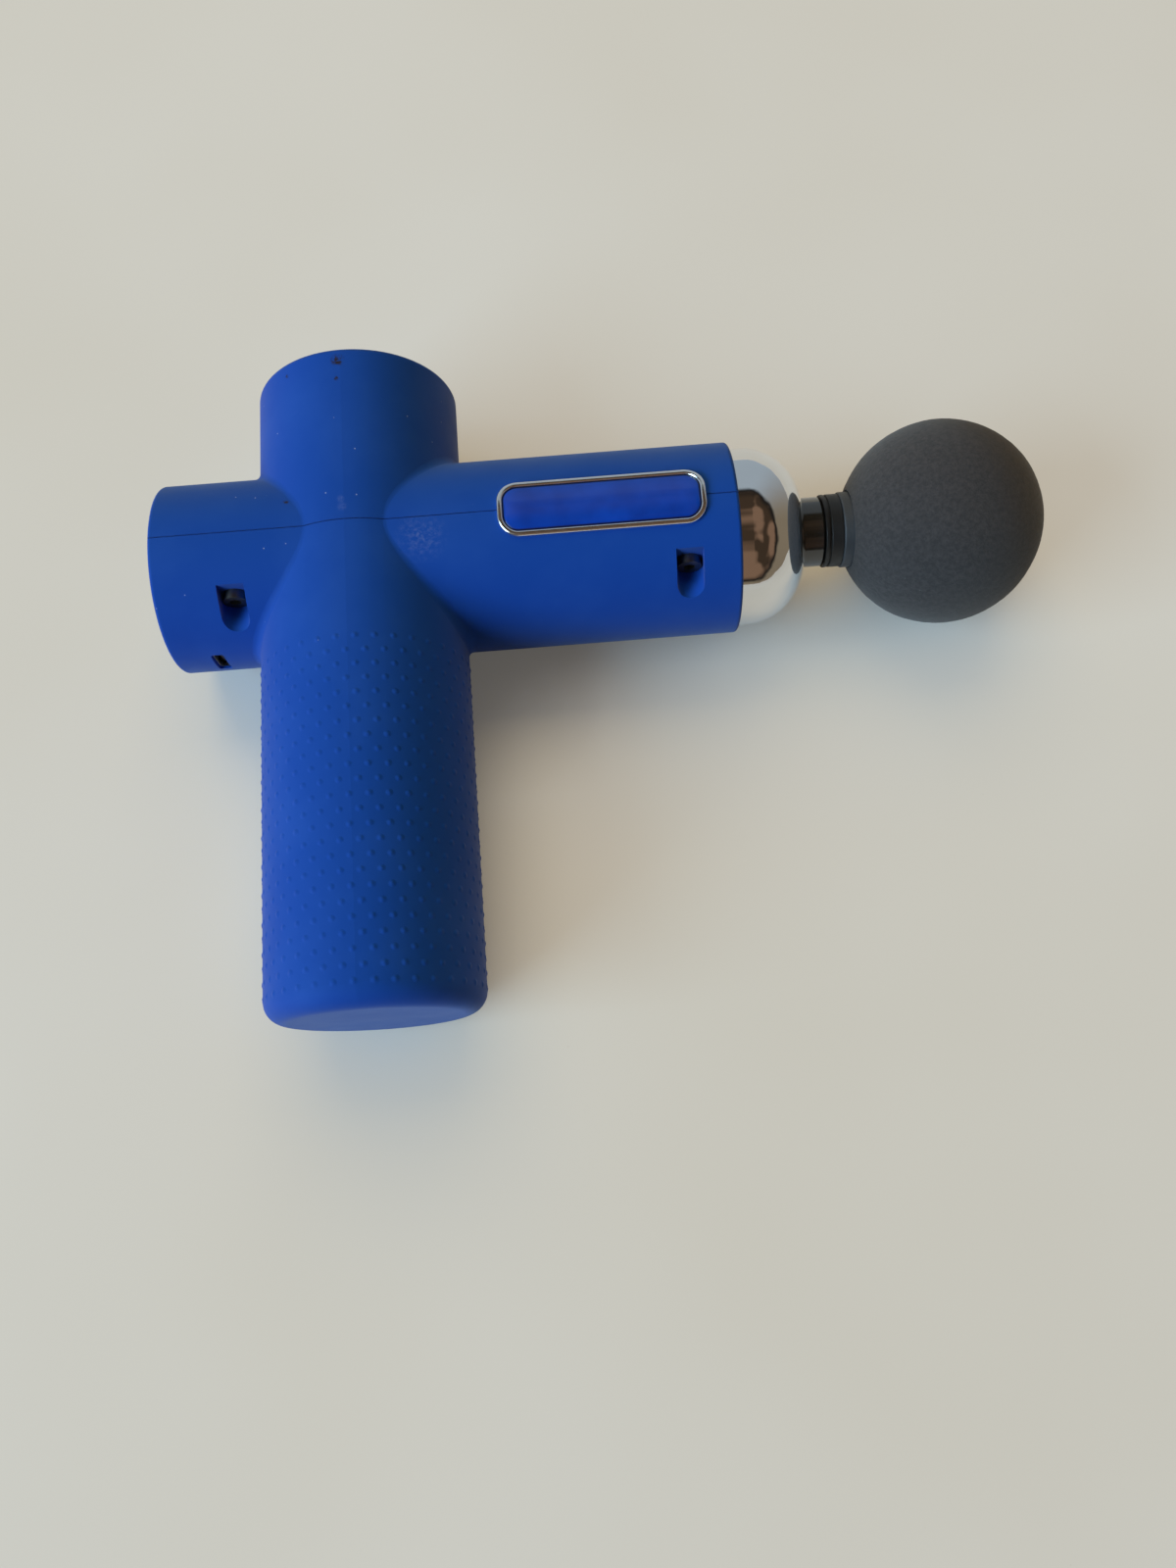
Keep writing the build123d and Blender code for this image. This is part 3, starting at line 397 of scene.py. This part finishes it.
# green solder mask with the shadow of copper tracks under it
boardLook = {
    "mask": paint(22, 92, 52),
    "maskDark": paint(16, 76, 44),
    "maskPatch": 3 * mm,
    "track": paint(70, 140, 70),
    "trackStrength": 0.25,
    "trackScale": 260,
    "trackGap": 0.04,
    "trackHeight": 0.02 * mm,
}


def makeBoard():
    look = boardLook
    finish, tree, skin = startFinish("solderMask", rough=0.32)
    bricks = tree.nodes.new("ShaderNodeTexBrick")
    bricks.inputs["Scale"].default_value = look["trackScale"]
    bricks.inputs["Mortar Size"].default_value = look["trackGap"]
    tree.links.new(placeOn(tree), bricks.inputs["Vector"])
    tracks = remap(tree, bricks.outputs["Fac"], 0, 1, look["trackStrength"], 0)
    mask = layOver(tree, look["mask"], look["maskDark"], cloudy(tree, look["maskPatch"]))
    tree.links.new(layOver(tree, mask, look["track"], tracks), skin.inputs["Base Color"])
    raiseSkin(tree, skin, bricks.outputs["Fac"], look["trackHeight"], 0.4)
    return finish


# enamelled wire laid side by side round each tooth, with painted shade in the furrows between turns
wireLook = {
    "paintedFurrowShade": paint(120, 62, 30),
    "crown": paint(206, 122, 70),
    "rough": (0.5, 0.28),  # in the furrow, and on the crown
    "thick": 0.4 * mm,
    "height": 0.12 * mm,
}


def makeWindings():
    finish, tree, skin = startFinish("enamelledWire", metal=0.85)
    turns = bands(tree, wireLook["thick"], "Y")
    # painted shade: the copper turns darker in the furrows between the wires
    copper = layOver(tree, wireLook["paintedFurrowShade"], wireLook["crown"], turns)
    tree.links.new(copper, skin.inputs["Base Color"])
    tree.links.new(remap(tree, turns, 0, 1, *wireLook["rough"]), skin.inputs["Roughness"])
    raiseSkin(tree, skin, turns, wireLook["height"], 0.8)
    return finish


# frosted light window, a little see-through
windowLook = {
    "milky": paint(226, 228, 226),
    "dull": paint(208, 212, 212),
    "patch": 1.5 * mm,
}


def makeFrosted():
    finish, tree, skin = startFinish(
        "frostedWindow", rough=0.45, Transmission_Weight=0.25, IOR=1.49,
    )
    cloud = cloudy(tree, windowLook["patch"])
    milky = layOver(tree, windowLook["milky"], windowLook["dull"], cloud)
    tree.links.new(milky, skin.inputs["Base Color"])
    return finish


# black gloss of the output tube: dark face on, bright where it turns away
tubeGloss = {
    "black": paint(33, 36, 40),
    "rough": (0.10, 0.20),
    "IOR": 1.6,
}

# polished: tint, roughness from and to, size of the wiping marks
# moulded: tint, roughness, size and depth of the grain
# turned: tint, roughness, axis, distance of the tool lines
finishes = {
    "softTouch": makeSoftTouch(),
    "chrome": makePolished("noseChrome", paint(234, 235, 236), 0.02, 0.08, 6 * mm),
    "badgeChrome": makePolished("badgeRimChrome", paint(240, 240, 238), 0.16, 0.26, 3 * mm),
    "gel": makeGel(),
    "gloss": makePolished(
        "tubeBlack", tubeGloss["black"], *tubeGloss["rough"], 4 * mm,
        metal=0.0, IOR=tubeGloss["IOR"], Coat_Weight=0.5, Coat_Roughness=0.05,
    ),
    "ridge": makeMoulded("ridgeRubber", paint(20, 21, 23), 0.50, 0.12 * mm, 0.02 * mm),
    "collar": makeMoulded("collarGrey", paint(50, 54, 60), 0.55, 0.14 * mm, 0.02 * mm),
    "seal": makeMoulded("sealSlate", paint(46, 50, 58), 0.62, 0.12 * mm, 0.02 * mm),
    "foam": makeFoam(),
    "blackScrew": makePolished("blackScrew", paint(118, 115, 110), 0.30, 0.46, 1.5 * mm),
    "portMetal": makePolished("portMetal", paint(196, 194, 190), 0.22, 0.36, 1.2 * mm),
    "portTongue": makeMoulded("portTongue", paint(24, 24, 26), 0.5, 0.1 * mm, 0.01 * mm),
    "gold": makePolished("contactGold", paint(214, 172, 96), 0.18, 0.3, 0.8 * mm),
    "panel": makePolished(
        "panelGloss", paint(14, 14, 17), 0.10, 0.2, 8 * mm,
        metal=0.0, Coat_Weight=0.4, Coat_Roughness=0.05,
    ),
    "button": makeMoulded("buttonBlack", paint(26, 27, 30), 0.45, 0.12 * mm, 0.02 * mm),
    "mark": makeMoulded("markWhite", paint(206, 208, 210), 0.5, 0.1 * mm, 0.01 * mm, 0.04),
    "window": makeFrosted(),
    "board": makeBoard(),
    "chip": makeMoulded("chipEpoxy", paint(34, 34, 36), 0.6, 0.1 * mm, 0.02 * mm),
    "innerBlack": makeMoulded("holderBlack", paint(38, 38, 41), 0.55, 0.2 * mm, 0.02 * mm),
    "damper": makeMoulded("damperRubber", paint(44, 46, 50), 0.7, 0.2 * mm, 0.03 * mm),
    "steelY": makeTurned("turnedSteel", paint(188, 190, 193), 0.28, "Y", 0.25 * mm),
    "laminated": makeTurned("laminatedSteel", paint(120, 122, 128), 0.42, "Y", 0.5 * mm),
    "magnet": makeTurned("nickelMagnet", paint(168, 166, 158), 0.3, "Y", 0.3 * mm),
    "aluY": makeTurned("turnedAluminium", paint(206, 208, 211), 0.34, "Y", 0.35 * mm),
    "aluX": makeTurned("pistonAluminium", paint(204, 206, 209), 0.34, "X", 0.3 * mm),
    "bronze": makeTurned("sinteredBronze", paint(176, 138, 84), 0.5, "X", 0.2 * mm),
    "copper": makeWindings(),
    "cellWrap": makeMoulded("cellWrap", paint(42, 134, 118), 0.3, 0.5 * mm, 0.005 * mm),
    "nickelStrap": makePolished("nickelStrap", paint(190, 188, 180), 0.28, 0.4, 2 * mm),
}

finishOf = {
    "upper_shell": "softTouch", "lower_shell": "softTouch", "housing_screws": "blackScrew",
    "nose_cone": "chrome", "nose_bush": "bronze", "nose_seal": "seal",
    "badge_frame": "badgeChrome", "badge_plate": "gel",
    "rear_panel": "panel", "power_button": "button", "light_windows": "window",
    "control_board": "board", "button_switch": "portMetal", "status_lamps": "window",
    "port_shell": "portMetal", "port_tongue": "portTongue",
    "motor_plate": "aluY", "motor_bearings": "steelY", "motor_screws": "steelY",
    "stator_core": "laminated", "stator_coils": "copper",
    "rotor_bell": "steelY", "rotor_magnets": "magnet", "motor_shaft": "steelY",
    "eccentric_disc": "steelY", "crank_pin": "steelY", "crank_bearing": "steelY",
    "con_rod": "aluY", "piston": "aluX", "wrist_pin": "steelY",
    "guide_sleeve": "bronze", "guide_dampers": "damper",
    "output_tube": "gloss", "head_stem": "innerBlack", "stem_o_rings": "damper",
    "ridge_ring": "ridge", "head_collar": "collar", "ball_head": "foam",
    "battery_cells": "cellWrap", "cell_straps": "nickelStrap", "cell_holders": "innerBlack",
    "drive_board": "board", "drive_chips": "chip",
}
for name, node in nodes.items():
    node.data.materials.clear()
    node.data.materials.append(finishes[finishOf[name]])
print("finishes on", len(nodes), "nodes")


def addPiece(name, mesh, finish, body, smooth=True):
    mesh.normal_update()
    data = bpy.data.meshes.new(name)
    mesh.to_mesh(data)
    mesh.free()
    data.polygons.foreach_set("use_smooth", [smooth] * len(data.polygons))
    data.materials.append(finishes[finish])
    piece = bpy.data.objects.new(name, data)
    bpy.context.scene.collection.objects.link(piece)
    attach(piece, body)
    return piece


def joinLoops(mesh, first, second):
    # a band of faces between two closed loops of as many points
    for side in range(len(first)):
        after = (side + 1) % len(first)
        mesh.faces.new((first[side], first[after], second[after], second[side]))


# raised dots of the grip, in staggered rows round the handle
grip = {
    "firstRow": 26.35 * mm,  # from the barrel axis down the handle
    "rowPitch": 3.035 * mm,
    "rows": 24,
    "round": 36,  # dots in each row round the handle
    "turned": 3.9,  # degrees from the top of the handle to the first dot
    "radius": 0.95 * mm,
    "height": 0.21 * mm,
    "foot": 0.03 * mm,  # the rim of a dot runs out under the skin
    "clear": 0.01 * mm,  # kept between the dots underneath and the floor
    "rings": 4,
    "sides": 12,
}


def onFloor(point):
    # the dots underneath are pressed level with the floor
    return Vector((point.x, point.y, max(point.z, grip["clear"])))


def addDot(mesh, centre, outward, along):
    # a soft round bump whose foot runs out level with the surface
    across = outward.cross(along)
    loops = []
    for ring in range(grip["rings"], 0, -1):
        share = ring / grip["rings"]
        lift = grip["height"] * (0.5 + 0.5 * math.cos(math.pi * share)) - grip["foot"]
        loop = []
        for side in range(grip["sides"]):
            turn = 2 * math.pi * side / grip["sides"]
            offset = (along * math.cos(turn) + across * math.sin(turn)) * grip["radius"] * share
            loop.append(mesh.verts.new(onFloor(centre + offset + outward * lift)))
        loops.append(loop)
    for outer, inner in zip(loops, loops[1:]):
        joinLoops(mesh, inner, outer)
    tip = mesh.verts.new(onFloor(centre + outward * (grip["height"] - grip["foot"])))
    for side in range(grip["sides"]):
        mesh.faces.new((loops[-1][side], tip, loops[-1][(side + 1) % grip["sides"]]))


def makeGripDots():
    mesh = bmesh.new()
    down = Vector((0, -1, 0))
    for row in range(grip["rows"]):
        y = barrelY - grip["firstRow"] - row * grip["rowPitch"]
        for place in range(grip["round"]):
            turn = 2 * math.pi * (place + 0.5 * (row % 2)) / grip["round"]
            turn += math.radians(grip["turned"])
            outward = Vector((math.sin(turn), 0, math.cos(turn)))
            addDot(mesh, Vector((handleX, y, axisZ)) + outward * handleRadius, outward, down)
    bmesh.ops.recalc_face_normals(mesh, faces=mesh.faces)
    return addPiece("gripDots", mesh, "softTouch", "housing")


gripDots = makeGripDots()
print("grip dots", len(gripDots.data.polygons), "faces")


# clear domed badge inside its chrome rim
badge = {
    "crown": 0.45 * mm,  # how much higher the middle stands than the edge
    "bulge": 2.4,  # the higher, the flatter its middle and the rounder its edge
    "edge": 0.35 * mm,  # height of its edge over the barrel
    "foot": 0.05 * mm,  # the same where it stands inside the rim
    "weld": 0.02 * mm,  # points closer than this become one
    "rings": 14,
    "cornerSteps": 10,
    "sideSteps": 60,
}


def makeBadgeDome():
    low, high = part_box("badge_plate")
    halfLong = (high.x - low.x) / 2
    halfWide = (high.y - low.y) / 2
    corner = gelLook["corner"]
    centre = middleOf("badge_plate")
    # outline of the plate seen from above, one quarter after another
    outline = []
    for quarter, (signX, signY) in enumerate(((1, 1), (-1, 1), (-1, -1), (1, -1))):
        middle = Vector((signX * (halfLong - corner), signY * (halfWide - corner)))
        for step in range(badge["cornerSteps"] + 1):
            turn = math.pi / 2 * (quarter + step / badge["cornerSteps"])
            outline.append(middle + Vector((math.cos(turn), math.sin(turn))) * corner)
        if quarter in (0, 2):
            start = outline[-1]
            end = Vector((-start.x, start.y))
            for step in range(1, badge["sideSteps"]):
                outline.append(start.lerp(end, step / badge["sideSteps"]))
    mesh = bmesh.new()
    loops = []
    spine = halfLong - halfWide
    for ring in range(-1, badge["rings"] + 1):
        share = max(0, ring) / badge["rings"]
        lift = badge["edge"] + badge["crown"] * math.sqrt(1 - (1 - share) ** badge["bulge"])
        if ring < 0:
            lift = badge["foot"]
        loop = []
        for point in outline:
            onSpine = Vector((max(-spine, min(spine, point.x)), 0))
            flat = onSpine + (point - onSpine) * (1 - share)
            turn = flat.y / barrelRadius
            out = barrelRadius + lift
            loop.append(mesh.verts.new((
                centre.x + flat.x,
                barrelY + out * math.sin(turn),
                axisZ + out * math.cos(turn),
            )))
        loops.append(loop)
    for outer, inner in zip(loops, loops[1:]):
        joinLoops(mesh, outer, inner)
    bmesh.ops.remove_doubles(mesh, verts=mesh.verts, dist=badge["weld"])
    bmesh.ops.recalc_face_normals(mesh, faces=mesh.faces)
    piece = addPiece("badgeDome", mesh, "gel", "housing")
    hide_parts("badge_plate")
    return piece


badgeDome = makeBadgeDome()
print("badge dome", len(badgeDome.data.polygons), "faces")


# foam ball with a rounded lip where it meets the collar
ball = {
    "rings": 190,
    "sides": 360,
    "lip": 0.35 * mm,
    "lipSteps": 5,
    "lipLong": 1.1,  # the lip is drawn out along the axis by this factor
    "lipStart": 1.2,  # where it leaves the straight seat, in lip radii
    "gap": 0.06 * mm,  # foam to the collar
    "seatDeep": 0.6,  # of the collar's length
    "seatFloor": 0.72,  # of the mouth, open inside
    "fuzz": 0.045 * mm,
    "fuzzSize": 0.7 * mm,
    "wobble": 0.10 * mm,
    "wobbleSize": 9 * mm,
    "lipRough": 0.2,  # the lip is smoother than the ball
    "calmRings": 6,  # rings behind the lip on which the unevenness sets in
}


def makeFoamBall():
    low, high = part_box("ball_head")
    radius = (high.z - low.z) / 2
    centre = Vector((high.x - radius, barrelY, axisZ))
    mouth = spanOf("head_collar").z / 2 + ball["gap"]
    depth = spanOf("head_collar").x * ball["seatDeep"]
    mouthTurn = math.asin((mouth + ball["lip"]) / radius)
    # outline from the bottom of the collar's seat, round its lip, to the far end
    lipX = -math.sqrt(radius ** 2 - (mouth + ball["lip"]) ** 2)
    outline = [
        (lipX + depth, mouth * ball["seatFloor"], 0),
        (lipX + depth, mouth, 0),
        (lipX + ball["lip"] * ball["lipStart"], mouth, 0),
    ]
    for step in range(1, ball["lipSteps"]):
        turn = math.pi / 2 * step / ball["lipSteps"]
        outline.append((
            lipX + ball["lip"] * (1 - math.sin(turn)) * ball["lipLong"],
            mouth + ball["lip"] * (1 - math.cos(turn)),
            ball["lipRough"],
        ))
    for step in range(ball["rings"]):
        turn = mouthTurn + (math.pi - mouthTurn) * step / ball["rings"]
        rough = min(1, step / ball["calmRings"])
        outline.append((-radius * math.cos(turn), radius * math.sin(turn), rough))
    mesh = bmesh.new()
    loops = []
    for x, out, rough in outline:
        loop = []
        for side in range(ball["sides"]):
            turn = 2 * math.pi * side / ball["sides"]
            point = centre + Vector((x, out * math.cos(turn), out * math.sin(turn)))
            away = (point - centre).normalized()
            fine = noise.noise(point / ball["fuzzSize"]) * ball["fuzz"]
            broad = noise.noise(point / ball["wobbleSize"]) * ball["wobble"]
            loop.append(mesh.verts.new(point + away * (fine + broad) * rough))
        loops.append(loop)
    for first, second in zip(loops, loops[1:]):
        joinLoops(mesh, first, second)
    tip = mesh.verts.new(centre + Vector((radius, 0, 0)))
    for side in range(ball["sides"]):
        mesh.faces.new((loops[-1][side], loops[-1][(side + 1) % ball["sides"]], tip))
    bmesh.ops.recalc_face_normals(mesh, faces=mesh.faces)
    piece = addPiece("foamBall", mesh, "foam", "head")
    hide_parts("ball_head")
    return piece


foamBall = makeFoamBall()
print("foam ball", len(foamBall.data.polygons), "faces")


# on/off sign on the rear button: an open ring and a bar, inlaid a hair proud
powerMark = {
    "ring": 2.5 * mm,
    "line": 0.42 * mm,
    "opening": 68,  # degrees left open round the bar
    "bar": 2.3 * mm,
    "barLift": 0.6,  # the bar's top over the ring's middle line, in line widths
    "proud": 0.05 * mm,
    "steps": 48,
}


def addStrip(mesh, points, width, face, proud):
    # a flat band along points of the Y-Z plane, closed at its sides
    rows = []
    for index, point in enumerate(points):
        ahead = points[min(index + 1, len(points) - 1)]
        behind = points[max(index - 1, 0)]
        along = (ahead - behind).normalized()
        out = Vector((-along.y, along.x)) * width / 2
        row = []
        for edge in (point + out, point - out):
            for x in (face - proud, face + proud):
                row.append(mesh.verts.new((x, barrelY + edge.x, axisZ + edge.y)))
        rows.append(row)
    for first, second in zip(rows, rows[1:]):
        for one, two in ((0, 1), (1, 3), (3, 2), (2, 0)):
            mesh.faces.new((first[one], first[two], second[two], second[one]))
    for row in (rows[0], rows[-1]):
        mesh.faces.new((row[0], row[1], row[3], row[2]))


def makePowerMark():
    mesh = bmesh.new()
    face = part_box("power_button")[0].x
    half = math.radians(powerMark["opening"] / 2)
    arc = []
    for step in range(powerMark["steps"] + 1):
        turn = math.pi / 2 + half + (2 * math.pi - 2 * half) * step / powerMark["steps"]
        arc.append(Vector((math.cos(turn), math.sin(turn))) * powerMark["ring"])
    addStrip(mesh, arc, powerMark["line"], face, powerMark["proud"])
    top = powerMark["ring"] + powerMark["line"] * powerMark["barLift"]
    bar = [Vector((0, top - powerMark["bar"] * share)) for share in (0, 0.5, 1)]
    addStrip(mesh, bar, powerMark["line"], face, powerMark["proud"])
    bmesh.ops.recalc_face_normals(mesh, faces=mesh.faces)
    addPiece("powerMark", mesh, "mark", "button", smooth=False)


# gold fingers on both faces of the charging socket's tongue
contacts = {
    "count": 6,
    "pitch": 0.8 * mm,
    "width": 0.42 * mm,
    "length": 3.2 * mm,
    "inset": 0.5 * mm,  # from the tongue's tip
    "proud": 0.03 * mm,
    "sunk": 0.05 * mm,
    "faces": ((0, 1, 3, 2), (4, 6, 7, 5), (0, 4, 5, 1), (2, 3, 7, 6), (0, 2, 6, 4), (1, 5, 7, 3)),
}


def makePortContacts():
    mesh = bmesh.new()
    low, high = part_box("port_tongue")
    for faceX, outward in ((low.x, -1), (high.x, 1)):
        for place in range(contacts["count"]):
            z = axisZ + (place - (contacts["count"] - 1) / 2) * contacts["pitch"]
            y = low.y + contacts["inset"]
            corners = []
            for x in (faceX - contacts["sunk"] * outward, faceX + contacts["proud"] * outward):
                for endY in (y, y + contacts["length"]):
                    for endZ in (z - contacts["width"] / 2, z + contacts["width"] / 2):
                        corners.append(mesh.verts.new((x, endY, endZ)))
            for face in contacts["faces"]:
                mesh.faces.new([corners[corner] for corner in face])
    bmesh.ops.recalc_face_normals(mesh, faces=mesh.faces)
    addPiece("portContacts", mesh, "gold", "housing", smooth=False)


makePowerMark()
makePortContacts()
print("power mark and port contacts")


# white laminate table that the gun lies on, and the pale backdrop beyond it
tableLook = {
    "top": paint(218, 217, 214),
    "shade": paint(212, 209, 202),
    "speck": paint(150, 142, 128),
    "glow": paint(201, 199, 192),
    "glowShade": paint(196, 192, 182),
    "glowShare": (0.14, 0.62),  # in the corners, and out in the open
    "openness": (0.3, 1.0),  # what counts as a corner, and as the open
    "shadowReach": 34 * mm,
    "clouding": {"size": 0.25, "levels": (0.35, 0.7)},
    "dirt": {"spacing": 9 * mm, "size": 0.22 * mm, "share": 0.12},
    "dirtStrength": 0.35,
    "grain": 0.6 * mm,
    "grainDepth": 0.02 * mm,
    "backdrop": paint(206, 203, 196),
    "fade": (0.5, 2.0),  # from here to there the table turns into the backdrop
    "half": 4.0,
}


def makeTable():
    # the open table glows a little for the eye, and keeps its shadow under the gun
    look = tableLook
    finish, tree, skin = startFinish("tableTop", rough=0.6, Specular_IOR_Level=0.2)
    clouding = patches(tree, **look["clouding"])
    colour = layOver(tree, look["top"], look["shade"], clouding)
    dirt = specks(tree, **look["dirt"])
    colour = layOver(tree, colour, look["speck"], dirt, look["dirtStrength"])
    tree.links.new(colour, skin.inputs["Base Color"])
    raiseSkin(tree, skin, cloudy(tree, look["grain"]), look["grainDepth"], 0.3)
    start, end = look["fade"]
    far = remap(tree, nearPoint(tree, (0, 0, 0), end), 0, 1 - start / end, 1, 0, True)
    calm = layOver(tree, look["glow"], look["glowShade"], clouding)
    glow = tree.nodes.new("ShaderNodeEmission")
    tree.links.new(layOver(tree, calm, look["backdrop"], far), glow.inputs["Color"])
    openness = tree.nodes.new("ShaderNodeAmbientOcclusion")
    openness.inputs["Distance"].default_value = look["shadowReach"]
    lit = remap(tree, openness.outputs["AO"], *look["openness"], *look["glowShare"], True)
    lit = sums(tree, "MAXIMUM", lit, far)
    eye = anyRay(tree, "Is Camera Ray", "Is Glossy Ray", "Is Transmission Ray")
    both = tree.nodes.new("ShaderNodeMixShader")
    tree.links.new(sums(tree, "MULTIPLY", eye, lit), both.inputs["Fac"])
    tree.links.new(skin.outputs["BSDF"], both.inputs[1])
    tree.links.new(glow.outputs["Emission"], both.inputs[2])
    tree.links.new(both.outputs["Shader"], tree.nodes["Material Output"].inputs["Surface"])
    mesh = bmesh.new()
    half = look["half"]
    around = ((-half, -half, 0), (half, -half, 0), (half, half, 0), (-half, half, 0))
    mesh.faces.new([mesh.verts.new(corner) for corner in around])
    data = bpy.data.meshes.new("table")
    mesh.to_mesh(data)
    mesh.free()
    data.materials.append(finish)
    table = bpy.data.objects.new("table", data)
    bpy.context.scene.collection.objects.link(table)


# soft light: a wide cool window on the left, a warm room above and all round
room = {
    "fill": (0.13, 0.10, 0.065, 1),  # what the room gives every surface
    "windowWall": (0.36, 0.42, 0.47, 1),  # what gloss and metal mirror
    "farWall": (0.22, 0.175, 0.12, 1),
    "wallTurn": (-0.9, 0.5),  # across the room, far wall to window wall
    "overhead": (0.050, 0.032, 0.020, 1),
    "overheadPale": (0.21, 0.125, 0.078, 1),
    "overheadRim": (0.012, 0.011, 0.010, 1),
    "overheadFrom": (-0.10, -0.42, 0.90),
    "overheadEdge": (0.40, 0.50),  # how squarely a direction has to meet it
    "rimEdge": (0.48, 0.62),
    "foldScale": 2.6,
    "foldDetail": 1.5,
    "foldLevels": (0.47, 0.60),
    "ripple": 0.12,  # how far the folds push the edges about
    "window": {
        "from": (-0.79, -0.34, 0.51), "distance": 3.0, "size": (2.0, 1.5),
        "power": 122, "tint": (0.54, 0.80, 1.0), "mirrored": True,
    },
    "ceiling": {
        "from": (-0.05, 0.60, 0.80), "distance": 3.0, "size": (2.6, 2.0),
        "power": 60, "tint": (1.0, 0.77, 0.42), "mirrored": False,
    },
}


def makeRoom():
    world = bpy.data.worlds.new("room")
    bpy.context.scene.world = world
    world.use_nodes = True
    tree = world.node_tree
    sky = tree.nodes["Background"]
    towards = tree.nodes.new("ShaderNodeTexCoord").outputs["Generated"]
    split = tree.nodes.new("ShaderNodeSeparateXYZ")
    tree.links.new(towards, split.inputs["Vector"])
    # walls: pale towards the window and beyond the motor housing, dim and warm opposite
    toWindow = sums(tree, "SUBTRACT", split.outputs["Y"], split.outputs["X"])
    side = remap(tree, toWindow, *room["wallTurn"], 0, 1, True)
    walls = layOver(tree, room["farWall"], room["windowWall"], side)
    # someone in brown leans over the table
    lean = tree.nodes.new("ShaderNodeVectorMath")
    lean.operation = "DOT_PRODUCT"
    tree.links.new(towards, lean.inputs[0])
    lean.inputs[1].default_value = Vector(room["overheadFrom"]).normalized()
    folds = tree.nodes.new("ShaderNodeTexNoise")
    folds.inputs["Scale"].default_value = room["foldScale"]
    folds.inputs["Detail"].default_value = room["foldDetail"]
    tree.links.new(towards, folds.inputs["Vector"])
    lift = remap(tree, folds.outputs["Fac"], *room["foldLevels"])
    brown = layOver(tree, room["overhead"], room["overheadPale"], lift)
    ripple = remap(tree, folds.outputs["Fac"], 0, 1, -room["ripple"], room["ripple"])
    edge = sums(tree, "ADD", lean.outputs["Value"], ripple)
    inside = remap(tree, edge, *room["rimEdge"], 0, 1, True)
    brown = layOver(tree, room["overheadRim"], brown, inside)
    covered = remap(tree, edge, *room["overheadEdge"], 0, 1, True)
    mirrored = layOver(tree, walls, brown, covered)
    glossy = anyRay(tree, "Is Glossy Ray", "Is Transmission Ray")
    seen = layOver(tree, room["fill"], mirrored, glossy)
    seen = layOver(tree, seen, tableLook["backdrop"], anyRay(tree, "Is Camera Ray"))
    tree.links.new(seen, sky.inputs["Color"])
    sky.inputs["Strength"].default_value = 1.0


def addLamp(name):
    look = room[name]
    light = bpy.data.lights.new(name, "AREA")
    light.shape = "RECTANGLE"
    light.size, light.size_y = look["size"]
    light.energy = look["power"]
    light.color = look["tint"]
    lamp = bpy.data.objects.new(name, light)
    towards = Vector(look["from"]).normalized()
    lamp.location = towards * look["distance"]
    lamp.rotation_euler = towards.to_track_quat("Z", "Y").to_euler()
    lamp.visible_glossy = look["mirrored"]
    bpy.context.scene.collection.objects.link(lamp)


makeTable()
makeRoom()
addLamp("window")
addLamp("ceiling")

# camera above the handle, looking down and a little towards the motor housing
view = {
    "fromHub": (44.60 * mm, -132.27 * mm, 259.82 * mm),
    "forward": (0.006186, 0.285339, -0.958407),
    "up": (0.078692, 0.955314, 0.284927),
    "lens": 29.25,
    "sensor": 36,
    "nearest": 0.01,
}


def addCamera():
    data = bpy.data.cameras.new("camera")
    data.lens = view["lens"]
    data.sensor_width = view["sensor"]
    data.clip_start = view["nearest"]
    camera = bpy.data.objects.new("camera", data)
    forward = Vector(view["forward"]).normalized()
    right = forward.cross(Vector(view["up"])).normalized()
    upward = right.cross(forward)
    turned = Matrix((right, upward, -forward)).transposed().to_4x4()
    camera.matrix_world = Matrix.Translation(hub + Vector(view["fromHub"])) @ turned
    bpy.context.scene.collection.objects.link(camera)
    bpy.context.scene.camera = camera


addCamera()
bpy.context.scene.view_settings.view_transform = "Standard"
print("stage set")
